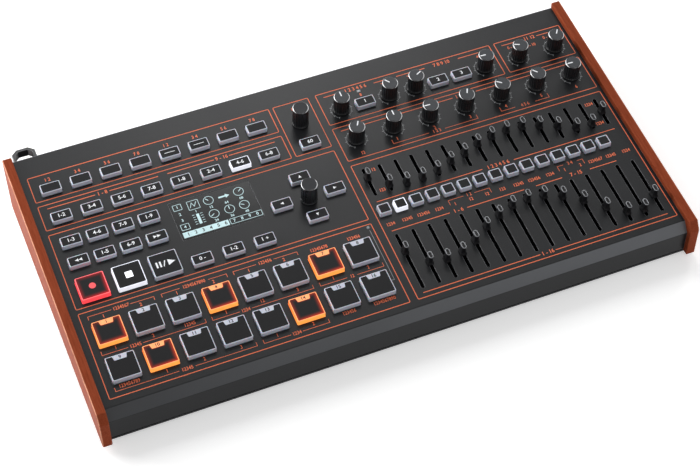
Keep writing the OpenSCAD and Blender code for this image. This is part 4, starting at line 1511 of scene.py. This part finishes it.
class KnobOperator(bpy.types.Operator):
    """Turn the fluted knobs"""

    bl_idname = "drum.knobs"
    bl_label = "Knobs"

    SKIRT_FOOT, SKIRT_H, SKIRT_LIP = 0.5, 1.1, 0.15
    TOP_R, EDGE_CUT, SHAFT_R = 6.6, 0.8, 3.0
    POINTER_W, POINTER_IN, POINTER_OUT = 1.1, 0.5, 5.55

    def execute(self, context):
        settings = context.scene.drum_controls
        side = surface(
            "Knob side", settings.knob, 0.28, specular=0.4, grain=(2400.0, 0.3, 0.006),
            handled=(60.0, 0.1), wear=(0.0004, 0.4), worn=linear("35373b"),
        )

        # Painted highlights: the knob's chamfer turns nearly white where it faces left or right.
        def painted_glints(tree, tone):
            for turn in (1.0, -1.0):
                toward = (0.93 * turn, -0.33 * turn, 0.0)
                tone = painted_highlight(tree, tone, linear("f2f4f6"), toward, 0.46, 0.6)
            return tone

        edge = surface(
            "Knob edge", linear("2c2d30"), 0.2, specular=0.6, grain=(2400.0, 0.2, 0.001),
            handled=(60.0, 0.04), tint=painted_glints,
        )
        disc = surface(
            "Knob disc", settings.disc, 0.4, specular=0.15, grain=(3000.0, 0.2, 0.01),
            handled=(70.0, 0.15),
        )
        dark = surface(
            "Encoder disc", linear("242528"), 0.4, specular=0.15, grain=(3000.0, 0.2, 0.01),
            handled=(70.0, 0.15),
        )
        mark = printed("White ink", settings.mark)
        for name in TONE_KNOBS + TUNE_KNOBS + ENCODERS:
            bm = bmesh.new()
            low, high = solids(name)[0]
            x, y = middle((low, high))
            self.knob(bm, high.x - x, low.z, high.z, settings)
            if name in POINTER_TURNS:
                self.pointer(bm, high.z)
                turn = Matrix.Rotation(math.radians(-POINTER_TURNS[name]), 4, "Z")
                bm.transform(turn)
            bm.transform(Matrix.Translation((x, y, 0.0)))
            top = disc if name in POINTER_TURNS else dark
            piece(
                f"{name}_finish", bm, PANEL, name, [side, top, mark, edge],
                replaces=[name], crease=40,
            )
        return {"FINISHED"}

    def knob(self, bm, skirt_r, foot, top, settings):
        """A shaft, a skirt, a fluted body and a smooth collar with a sunk top disc."""
        flutes, depth = settings.flutes, settings.flute_depth / MM
        body_r = skirt_r - self.SKIRT_LIP
        skirt_top = self.SKIRT_FOOT + self.SKIRT_H

        def level(radius, height, cut=0.0, material=0):
            return fluted(radius, cut, flutes), height, material

        collar = top - 2.6
        levels = [
            level(self.SHAFT_R, foot), level(self.SHAFT_R, self.SKIRT_FOOT),
            level(skirt_r - 0.15, self.SKIRT_FOOT), level(skirt_r, self.SKIRT_FOOT + 0.2),
            level(skirt_r, skirt_top - 0.2), level(skirt_r - 0.12, skirt_top),
            level(body_r - 0.05, skirt_top + 0.15, depth * 0.7),
            level(body_r - 0.08, skirt_top + 1.0, depth),
            level(self.TOP_R + 0.05, collar - 1.4, depth),
            level(self.TOP_R + 0.03, collar - 0.5, depth * 0.8),
            level(self.TOP_R, collar, 0.0), level(self.TOP_R, top - self.EDGE_CUT),
            level(self.TOP_R - 0.12, top - 0.5, 0.0, 3),
            level(self.TOP_R - 0.4, top - 0.22, 0.0, 3),
            level(self.TOP_R - 0.72, top - 0.03, 0.0, 3),
            level(self.TOP_R - self.EDGE_CUT, top),
            level(self.TOP_R - self.EDGE_CUT - 0.08, top - 0.08),
            level(0.5, top - 0.08, 0.0, 1),
        ]
        loft(bm, levels)

    def pointer(self, bm, top):
        """A white bar let into the top."""
        reach = self.POINTER_OUT - self.POINTER_IN
        bar = rounded(self.POINTER_W, reach, self.POINTER_W / 2 - 0.02, 4)
        middle_y = (self.POINTER_IN + self.POINTER_OUT) / 2
        slab(bm, shifted(bar, 0.0, middle_y), top - 0.3, top, 0.04, 1, 2)


class CapOperator(bpy.types.Operator):
    """Mould the caps of the mixer and pan sliders"""

    bl_idname = "drum.caps"
    bl_label = "Slider caps"

    # Width, length, corner radius, height and material of each level of a cap
    LEVELS = (
        (4.9, 7.7, 1.6, 0.8, 0), (5.2, 8.0, 1.8, 1.05, 0), (5.15, 7.95, 1.8, 1.7, 0),
        (4.1, 6.9, 1.8, 2.7, 0), (3.65, 6.4, 1.75, 4.2, 0), (3.45, 6.2, 1.65, 6.6, 0),
        (3.5, 6.3, 1.7, 8.3, 0), (3.7, 6.7, 1.8, 9.4, 0), (3.7, 6.7, 1.8, 9.9, 0),
        (3.45, 6.4, 1.7, 10.28, 1), (3.1, 6.0, 1.52, 10.46, 1), (2.95, 5.8, 1.45, 10.5, 1),
        (2.6, 5.4, 1.25, 10.5, 0), (2.2, 5.0, 1.05, 10.1, 1), (1.3, 4.1, 0.6, 9.9, 0),
    )
    LEVER_DROP = 9.0

    def execute(self, context):
        body = surface(
            "Cap plastic", linear("131315"), 0.36, specular=0.2, grain=(2400.0, 0.3, 0.012),
            handled=(60.0, 0.2), wear=(0.0004, 0.5), worn=linear("3c3e42"),
        )

        # Painted highlight: the lip is pale grey as a ring of light round the cap's top, nearly
        # white where it faces back and right.
        def painted_glints(tree, tone):
            return painted_highlight(tree, tone, linear("f0f2f6"), (0.66, 0.6, 0.45), 0.3, 0.75)

        lip = surface(
            "Cap lip", linear("86888c"), 0.34, specular=0.25, grain=(2400.0, 0.2, 0.01),
            handled=(80.0, 0.2), tint=painted_glints,
        )
        names = [f"mixer_cap_{i}" for i in range(1, 17)]
        for node in names + ["pan_caps_rear", "pan_caps_middle", "pan_caps_front"]:
            bm = bmesh.new()
            for solid in solids(node):
                x, y = middle(solid)
                loft(bm, [
                    (shifted(rounded(w, l, r, 5), x, y), h, m) for w, l, r, h, m in self.LEVELS
                ])
                box(bm, (x - 0.6, y - 2.0, -self.LEVER_DROP), (x + 0.6, y + 2.0, 0.8), 0.12)
            piece(
                f"{node}_finish", bm, PANEL, node, [body, lip], replaces=[node]
            )
        return {"FINISHED"}


class DisplayOperator(bpy.types.Operator):
    """Fit the display window, its lit picture and the two lamps"""

    bl_idname = "drum.display"
    bl_label = "Display and lamps"

    LAMP_TOP = 0.15

    def execute(self, context):
        settings = context.scene.drum_controls
        glass = surface(
            "Window", linear("141516"), 0.16, specular=0.22, grain=(900.0, 0.1, 0.002),
            handled=(35.0, 0.08),
        )
        parts = sorted(solids("display_window"), key=lambda s: s[0].x - s[1].x)
        (low, high), bar, dot = parts[0], parts[1], parts[2]
        bm = bmesh.new()
        x, y = middle((low, high))
        plate = shifted(rounded(high.x - low.x, high.y - low.y, 0.5, 2), x, y)
        slab(bm, plate, low.z, high.z, 0.06)
        piece("display_glass", bm, PANEL, HOUSING, [glass], replaces=["display_window"])
        self.picture(settings, high.z)
        bm = bmesh.new()
        x, y = middle(bar)
        w, l = bar[1].x - bar[0].x, bar[1].y - bar[0].y
        slab(bm, shifted(rounded(w, l, 0.3, 3), x, y), bar[0].z, bar[1].z, 0.12)
        x, y = middle(dot)
        r = (dot[1].x - dot[0].x) / 2
        lathe(bm, [(r, dot[0].z), (r, -0.1), (r * 0.85, 0.08), (r * 0.4, self.LAMP_TOP)], x, y, 24)
        lamp = surface(
            "Lamp lens", linear("8f9196"), 0.25, grain=(1500.0, 0.1, 0.004), subsurface=0.2
        )
        piece("panel_lamps", bm, PANEL, HOUSING, [lamp])
        return {"FINISHED"}

    def picture(self, settings, level):
        """Lit segments: boxes, a slider, five dials, rows of figures and a bottom bar."""
        bm = bmesh.new()
        low, high = level + 0.002, level + 0.02

        def line(*points, width=0.45):
            slab(bm, stroke(points, width), low, high)

        def block(u0, v0, u1, v1):
            slab(bm, [(u0, v0), (u1, v0), (u1, v1), (u0, v1)], low, high)

        def frame_box(u0, v0, u1, v1):
            x, y, w, l = (u0 + u1) / 2, (v0 + v1) / 2, u1 - u0, v1 - v0
            out, into = shifted(rounded(w, l, 0.5, 2), x, y), shifted(
                rounded(w - 0.8, l - 0.8, 0.2, 2), x, y
            )
            loft(
                bm, [(out, low, 0), (out, high, 0), (into, high, 0), (into, low, 0)], hollow=True
            )

        for i, v in enumerate((131.8, 151.8)):
            frame_box(113.2, v, 120.4, v + 6.0)
            write(bm, str(4 - 3 * i), 116.8, v + 3.0, low, 3.8)
        for i, v in enumerate((141.4, 147.6)):
            write(bm, str(3 - i), 116.8, v, low, 3.8)
        frame_box(124.9, 148.6, 134.4, 157.6)
        line((126.6, 151.0), (128.6, 155.4), (130.2, 151.6), (132.6, 155.8))
        block(128.6, 133.6, 130.9, 143.8)
        for i in range(5):
            v = 134.2 + 2.3 * i
            line((125.4, v), (127.4, v), width=0.4)
            line((132.0, v), (134.0, v), width=0.4)
        for x, y, turn in (
            (142.3, 153.0, 40), (167.7, 153.0, -50), (142.3, 139.1, 120), (155.3, 139.1, 0),
            (167.7, 139.1, 60),
        ):
            out, into = shifted(circle(4.2, 28), x, y), shifted(circle(3.75, 28), x, y)
            loft(
                bm, [(out, low, 0), (out, high, 0), (into, high, 0), (into, low, 0)], hollow=True
            )
            a = math.radians(turn + 90)
            line((x, y), (x + 3.2 * math.cos(a), y + 3.2 * math.sin(a)), width=0.6)
        line((150.6, 152.6), (157.0, 152.6), width=1.5)
        slab(bm, [(156.4, 150.6), (159.8, 152.6), (156.4, 154.6)], low, high)
        for text, u, v in (
            ("12", 142.3, 146.1), ("64", 155.3, 146.1), ("08", 167.7, 146.1), ("24", 142.3, 132.4),
            ("36", 155.3, 132.4), ("48", 167.7, 132.4), ("1", 129.7, 146.3),
        ):
            write(bm, text, u, v, low, 3.2)
        block(112.6, 124.4, 150.5, 129.8)
        for i in range(6):
            write(bm, str(i + 1), 117.0 + 6.2 * i, 127.1, high + 0.002, 4.4, 1)
        frame_box(151.5, 124.4, 178.4, 129.8)
        for i in range(4):
            write(bm, str(i + 7) if i < 3 else "0", 155.2 + 6.4 * i, 127.1, low, 4.0)
        shade = glowing("Display light", linear("101214"), settings.picture, 0.95)
        dark = printed("Display dark", linear("0e1012"))
        piece("display_picture", bm, PANEL, HOUSING, [shade, dark])


class RearOperator(bpy.types.Operator):
    """Fit the sockets and the power switch in the rear face"""

    bl_idname = "drum.rear"
    bl_label = "Rear sockets"

    WALL = -1.7
    BOARD_DROP = 8.2
    PRINT_RISE = 11.5

    def execute(self, context):
        black, metal = black_plastic(), plated()
        brass = plated("Brass contact", "b8924a")
        self.round_sockets(
            "jack_sockets", JACK_U, JACK_NOSE, 2.6, 3.25, 21.0, (16, 20, 7.8), black, brass
        )
        self.round_sockets(
            "mini_sockets", MINI_U, MINI_NOSE, 2.0, 1.8, 14.0, (9.6, 14, 4.5), black, brass
        )
        self.data_sockets(black, metal)
        self.rocker(black)
        self.rear_print(context)
        return {"FINISHED"}

    def housing(self, bm, u, size):
        """A socket's body, standing on the rear board."""
        w, deep, rise = size
        box(
            bm, (u - w / 2, -rise, self.WALL - deep), (u + w / 2, self.BOARD_DROP, self.WALL), 0.4
        )

    def round_sockets(self, node, places, nose, proud, bore, deep, size, black, brass):
        """Threaded noses with a chamfered mouth, and a contact deep in the bore."""
        bm = bmesh.new()
        for u in places:
            profile = [(nose, self.WALL)]
            turns = 4 if proud > 2.2 else 3
            for i in range(turns):
                h = 0.15 + (proud - 0.5) * i / turns
                profile += [(nose - 0.16, h), (nose, h + (proud - 0.5) / turns / 2)]
            profile += [
                (nose - 0.15, proud - 0.25), (nose - 0.45, proud), (bore + 0.35, proud),
                (bore, proud - 0.35), (bore, proud - deep), (bore * 0.5, proud - deep - 0.3),
            ]
            levels = [(shifted(circle(r, 36), u, 0.0), h, 0) for r, h in profile]
            levels.append((shifted(circle(bore * 0.2, 36), u, 0.0), proud - deep - 0.35, 1))
            rings = [ring(bm, outline, h) for outline, h, _ in levels]
            for i in range(1, len(rings)):
                skin(bm, rings[i - 1], rings[i], levels[i][2])
            bm.faces.new(rings[-1]).material_index = 1
            self.bored_body(bm, u, size, rings[0])
        piece(f"{node}_finish", bm, REAR, HOUSING, [black, brass], replaces=[node])

    def bored_body(self, bm, u, size, mouth):
        """The block behind the wall, joined to the nose round its foot."""
        w, deep, rise = size
        x1, y0, y1 = u + w / 2, -rise, self.BOARD_DROP
        front = []
        for v in mouth:
            dx, dy = v.co.x - u, v.co.y
            reach = min(
                (x1 - u) / abs(dx) if abs(dx) > 1e-6 else 1e9,
                ((y1 if dy > 0 else -y0) / abs(dy)) if abs(dy) > 1e-6 else 1e9,
            )
            front.append(bm.verts.new((u + dx * reach, dy * reach, self.WALL)))
        back = [bm.verts.new((v.co.x, v.co.y, self.WALL - deep)) for v in front]
        skin(bm, front, mouth)
        skin(bm, back, front)
        bm.faces.new(back[::-1])

    def data_sockets(self, black, metal):
        """Three round five-pin sockets, a square data socket, the inlet and the switch frame."""
        bm = bmesh.new()
        for u in DIN_U:
            self.five_pin(bm, u)
        self.housing(bm, DATA_U, (12, 16, 6))
        w, l = DATA_NOSE
        out, into = (shifted(rounded(a, b, 0.6, 2), DATA_U, 0.0) for a, b in ((w, l), (8.6, 8.0)))
        edge = shifted(rounded(w - 0.3, l - 0.3, 0.5, 2), DATA_U, 0)
        loft(
            bm, [(out, self.WALL, 1), (out, 0.35, 1), (edge, 0.5, 1), (into, 0.5, 1),
                 (into, self.WALL, 1)],
            hollow=True,
        )
        box(bm, (DATA_U - 2.8, -1.6, self.WALL), (DATA_U + 2.8, 1.6, -0.6), 0.2)
        self.housing(bm, INLET_U, (9, 14, 5))
        lathe(
            bm, [(4.0, self.WALL), (4.0, 0.3), (3.8, 0.5), (3.4, 0.5), (3.15, 0.25),
                 (3.15, self.WALL)],
            INLET_U, 0.0, 36, 0, hollow=True,
        )
        lathe(bm, [(1.0, self.WALL), (1.0, -0.5), (0.7, -0.2)], INLET_U, 0.0, 20, 1)
        self.switch_frame(bm)
        piece(
            "data_sockets_finish", bm, REAR, HOUSING, [black, metal],
            replaces=["data_sockets"],
        )

    def five_pin(self, bm, u):
        """A block with a round pocket, and a core with five square contact holes in it."""
        rings = [
            ring(bm, shifted(circle(r, 48), u, 0.0), h)
            for r, h in ((7.1, self.WALL), (6.9, self.WALL - 0.2), (6.9, self.WALL - 8.0))
        ]
        skin(bm, rings[0], rings[1], 1)
        skin(bm, rings[1], rings[2], 1)
        bm.faces.new(rings[2])
        self.bored_body(bm, u, (20, 14, 9.5), rings[0])
        holes = [
            lambda grown, a=math.radians(45 * k): turned(
                rounded(1.6 + 2 * grown, 1.6 + 2 * grown, 0.2, 1), math.degrees(a),
                u + 4.4 * math.cos(a), 4.4 * math.sin(a),
            )
            for k in range(5)
        ]
        top, low = pierced(
            bm, shifted(circle(6.0, 48), u, 0.0), holes, [],
            lambda p: Vector((p.x, p.y, self.WALL)),
            lambda p: Vector((p.x, p.y, self.WALL - 7.0)), 0.15,
        )
        skin(bm, top, low)

    def switch_frame(self, bm):
        """The bezel and the walls that the rocker sits in."""
        outer, inner = (21.0, 15.0), (16.8, 9.6)

        def at(size, r):
            return shifted(rounded(*size, r, 4), ROCKER_U, 0.0)

        loft(
            bm, [
                (at(inner, 0.4), -7.5, 0), (at(inner, 0.4), 1.7, 0),
                (at((inner[0] + 0.4, inner[1] + 0.4), 0.6), 2.0, 0),
                (at((outer[0] - 0.8, outer[1] - 0.8), 1.2), 2.0, 0), (at(outer, 1.5), 1.4, 0),
                (at(outer, 1.5), 0.02, 0), (at(SWITCH_FRAME, 0.5), 0.02, 0),
                (at(SWITCH_FRAME, 0.5), -7.5, 0),
            ],
            hollow=True,
        )
        w, l = SWITCH_FRAME
        box(bm, (ROCKER_U - w / 2, -l / 2, -14.0), (ROCKER_U + w / 2, l / 2, -7.52), 0.3)
        box(
            bm, (ROCKER_U - w / 2, l / 2 + 0.01, -14.0),
            (ROCKER_U + w / 2, self.BOARD_DROP, self.WALL), 0.2,
        )

    def rocker(self, black):
        """The rocker, a shallow V that tips about an upright pin."""
        bm = bmesh.new()
        half, wide = 7.6, 9.0
        profile = [(-3.0, -4.0), (3.0, -4.0), (half, -0.5), (half, 3.6)]
        for k in range(1, 8):
            t = k / 8
            x = half * (1 - 2 * t)
            profile.append((x, 2.4 + 1.2 * (x / half) ** 2))
        profile += [(-half, 3.6), (-half, -0.5)]
        slab(bm, profile, -wide / 2, wide / 2, 0.35, 2, both=True)
        lathe(bm, [(0.95, -5.8), (0.95, 5.8)], 0.0, 0.0, 20)
        bm.transform(Matrix.Rotation(math.radians(90), 4, "X"))
        before = set(bm.verts)
        slab(bm, shifted(rounded(0.7, 3.0, 0.1, 1), 4.6, 0.0), -0.1, 0.06, material=1)
        out, into = shifted(circle(1.5, 24), -4.6, 0.0), shifted(circle(1.0, 24), -4.6, 0.0)
        loft(
            bm, [(out, -0.1, 1), (out, 0.06, 1), (into, 0.06, 1), (into, -0.1, 1)], hollow=True
        )
        for vert in added(bm, before):
            vert.co.z += 2.4 + 1.2 * (vert.co.x / half) ** 2
        tip = Matrix.Rotation(math.radians(9.0), 4, "Y")
        bm.transform(Matrix.Translation((ROCKER_U, 0.0, -1.2)) @ tip)
        mark = printed("White ink", linear("e6e8ec"))
        piece(
            "power_rocker_finish", bm, REAR, "power_rocker", [black, mark],
            replaces=["power_rocker"],
        )

    def rear_print(self, context):
        """Plain figures over the sockets."""
        bm = bmesh.new()
        low = 0.01
        y = -self.PRINT_RISE
        for i, u in enumerate(MINI_U[2:]):
            write(bm, str(i + 1), u, y + 4.0, low, 3.2, flip=True)
        for i, u in enumerate(DIN_U):
            write(bm, str(i + 1), u, y - 0.5, low, 3.2, flip=True)
        for u, text in (*zip(JACK_U, "123"), *zip(MINI_U[:2], "12")):
            write(bm, text, u, y + 1.5, low, 3.2, flip=True)
        ink = printed("Grey ink", context.scene.drum_body.scale_ink)
        piece("rear_print", bm, REAR, HOUSING, [ink])


class BaseOperator(bpy.types.Operator):
    """Make the feet, screws, socket nuts and cable hook, and finish what stays as it is"""

    bl_idname = "drum.base"
    bl_label = "Feet, screws and hook"

    GROUND_GAP, HEAD_R, SHANK_R = 1.4, 2.6, 1.45
    BOTTOM_SCREWS = (30.0, 180.0, 320.0, 468.0)

    def execute(self, context):
        self.feet()
        self.fasteners()
        self.hook()
        self.repaint_rest()
        return {"FINISHED"}

    def feet(self):
        """Rubber feet with a soft lower edge and a sunk middle."""
        rubber = surface(
            "Foot rubber", linear("1b1b1c"), 0.75, grain=(1600.0, 0.3, 0.05), specular=0.3,
            handled=(40.0, 0.1), specks=0.15,
        )
        bm = bmesh.new()
        low, high = (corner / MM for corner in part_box("rubber_feet"))
        r = 8.0
        for x in (low.x + r, high.x - r):
            for y in (low.y + r, high.y - r):
                lathe(
                    bm, [(4.0, 0.35), (5.0, 0.05), (5.3, 0.0), (6.9, 0.0), (7.6, 0.25), (8.0, 1.0),
                         (8.0, FOOT_H)],
                    x, y, 40,
                )
        piece("feet", bm, GROUND, HOUSING, [rubber], replaces=["rubber_feet"])

    def screw(self, bm, where, radius, length_, head):
        """A pan-head screw with a cross recess, its head's seat at height 0."""
        before = set(bm.verts)
        r = self.HEAD_R
        lathe(
            bm, [(1.6, -head), (r - 0.5, -head * 0.85), (r - 0.1, -head * 0.45), (r, -0.1),
                 (r, 0.0), (radius, 0.0), (radius, length_ - 0.6), (radius - 0.6, length_)],
            0.0, 0.0, 28,
        )
        for turn in (0, 90):
            cross = turned(stroke([(-1.35, 0), (1.35, 0)], 0.55), turn)
            slab(bm, cross, -head - 0.005, -head + 0.02, material=1)
        move(bm, before, where)

    def fasteners(self):
        """Screws under the bottom plate, in the cheeks and the boards, and the socket nuts."""
        steel = surface(
            "Black steel", linear("2a2b2d"), 0.35, metallic=0.8, grain=(3000.0, 0.2, 0.008),
            worn=linear("9a9ca0"), wear=(0.0003, 0.6),
        )
        dark = black_plastic()
        bm = bmesh.new()
        mid = SHEET_T + (FLANGE_D - SHEET_T) / 2
        for u in self.BOTTOM_SCREWS:
            for y in (COVER_LOW.y + mid, COVER_HIGH.y - mid):
                self.screw(
                    bm, Matrix.Translation((LEFT + u, y, FOOT_H)), self.SHANK_R, 4.5,
                    FOOT_H - self.GROUND_GAP,
                )
        to_ground = GROUND.inverted() @ PANEL
        for side, u in ((-1, CHEEK_T), (1, WIDTH - CHEEK_T)):
            for v in (40.0, 125.0, 195.0):
                turn = Matrix.Rotation(math.radians(90 * side), 4, "Y")
                under_sheet = Matrix.Translation((0, 0, -SHEET_T))
                seat = Matrix.Translation((u, v, -7.0)) @ turn @ under_sheet
                self.screw(bm, to_ground @ seat, self.SHANK_R, SHEET_T + 4.5, 1.6)
        for u in (CHEEK_T + SHEET_T + 4.2, 258.0, WIDTH - CHEEK_T - SHEET_T - 4.2):
            for v in (10.0, 83.0, 156.0, 208.0):
                self.screw(bm, to_ground @ Matrix.Translation((u, v, -15.1)), 1.25, 6.1, 1.6)
        for u in (30.0, 192.0, 380.0, 464.0):
            at = (LEFT + u, COVER_HIGH.y - SHEET_T - 21.0, FOOT_H + SOCKET_RISE - 8.2)
            flip = Matrix.Rotation(math.pi, 4, "X")
            self.screw(bm, Matrix.Translation(at) @ flip, 1.25, 6.1, 1.6)
        piece("screws", bm, GROUND, HOUSING, [steel, dark], replaces=["fasteners"])
        self.nuts()

    def nuts(self):
        """Ring nuts with notched rims on the round sockets."""
        bm = bmesh.new()
        for places, outer, inner, thick in (
            (JACK_U, 6.5, JACK_NOSE + 0.05, 2.0), (MINI_U, 4.0, MINI_NOSE + 0.05, 1.4),
        ):
            for u in places:
                hexagon = [
                    shifted(turned(circle(r, 6), 30.0), u, 0.0) for r in (outer, outer * 0.93)
                ]
                rim = [self.spread(points, 36, u) for points in hexagon]
                bore = shifted(turned(circle(inner, 36), 0.0), u, 0.0)
                loft(
                    bm, [(bore, 0.02, 0), (rim[0], 0.02, 0), (rim[0], thick - 0.3, 0),
                         (rim[1], thick, 0), (bore, thick, 0)],
                    hollow=True,
                )
        piece("socket_nuts", bm, REAR, HOUSING, [plated()])

    def spread(self, corners, count, u):
        """A polygon's outline with as many points as a circle round the same middle."""
        points = []
        for i in range(count):
            a = 2 * math.pi * i / count
            ray = Vector((math.cos(a), math.sin(a)))
            best = None
            for p, q in zip(corners, corners[1:] + corners[:1]):
                p, q = Vector((p[0] - u, p[1])), Vector((q[0] - u, q[1]))
                side = Vector((q.y - p.y, p.x - q.x))
                reach = side.dot(p) / side.dot(ray) if side.dot(ray) > 1e-6 else None
                if reach and (best is None or reach < best):
                    best = reach
            points.append((u + ray.x * best, ray.y * best))
        return points

    def hook(self):
        """A strip bent to a shallow loop behind the rear face, to hang a cable on."""
        metal = surface(
            "Hook metal", linear("18181a"), 0.34, specular=0.5, grain=(2800.0, 0.25, 0.01),
            worn=linear("85878c"), wear=(0.0005, 0.6),
        )
        bm = bmesh.new()
        low, high = (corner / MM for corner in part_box("cable_hook"))
        reach, thick = high.y - low.y, 2.2
        half, bar, slant = (high.x - low.x) / 2, 4.8, 4.2
        x = (low.x + high.x) / 2

        def side(inset):
            path = [
                (half - inset, 0.0), (half - inset, reach - slant - inset / 2),
                (bar - inset / 3, reach - inset),
            ]
            return path + [(-px, py) for px, py in path[::-1]]

        outline = side(0.0) + side(thick)[::-1]
        slab(bm, shifted(outline, x, low.y), low.z, high.z, 0.5, 3, both=True)
        piece("hook", bm, GROUND, HOUSING, [metal], replaces=["cable_hook"])

    def repaint_rest(self):
        """Finishes of the pieces inside, and of the bottom plate."""
        repaint("bottom_plate", painted_metal())
        repaint("circuit_boards", self.board())
        repaint("display_module", black_plastic())
        repaint("slider_bodies", surface(
            "Slider tracks", linear("080809"), 0.6, specular=0.04, grain=(2600.0, 0.25, 0.01)
        ))
        repaint("pot_bodies", plated())

    def board(self):
        """Green board with lighter tracks."""

        def tracks(tree, tone):
            place = add(tree, "ShaderNodeTexCoord").outputs["Object"]
            lines = add(
                tree, "ShaderNodeTexBrick",
                {"Vector": place, "Scale": 60.0, "Mortar Size": 0.03, "Color1": (0, 0, 0, 1),
                 "Color2": (0, 0, 0, 1), "Mortar": (1, 1, 1, 1)},
            ).outputs["Fac"]
            return blend(tree, lines, tone, opaque(linear("2f7a4a")))

        return surface(
            "Circuit board", linear("123d22"), 0.4, grain=(1200.0, 0.2, 0.01), coat=0.3,
            tint=tracks,
        )


class DrumPanel(bpy.types.Panel):
    """Lists the steps that build the drum machine"""

    bl_idname = "DRUM_PT_steps"
    bl_label = "Drum Machine"
    bl_space_type = "VIEW_3D"
    bl_region_type = "UI"
    bl_category = "Drum Machine"

    def draw(self, context):
        for step in STEPS:
            self.layout.operator(step.bl_idname)


STEPS = (
    StageOperator, CoverOperator, CheekOperator, PrintOperator, DisplayOperator, PadOperator,
    KeyOperator, KnobOperator, CapOperator, RearOperator, BaseOperator,
)
GROUPS = {
    "drum_body": BodySettings, "drum_controls": ControlSettings, "drum_stage": StageSettings,
}


def register():
    """Adds the settings, the steps and their panel."""
    for kind in (*GROUPS.values(), *STEPS, DrumPanel):
        bpy.utils.register_class(kind)
    for name, kind in GROUPS.items():
        setattr(bpy.types.Scene, name, PointerProperty(type=kind))


def unregister():
    """Takes them away again."""
    for name in GROUPS:
        delattr(bpy.types.Scene, name)
    for kind in (DrumPanel, *reversed(STEPS), *reversed(GROUPS.values())):
        bpy.utils.unregister_class(kind)


def main():
    """Builds every piece."""
    register()
    for step in STEPS:
        space, name = step.bl_idname.split(".")
        getattr(getattr(bpy.ops, space), name)()


if __name__ == "__main__":
    main()
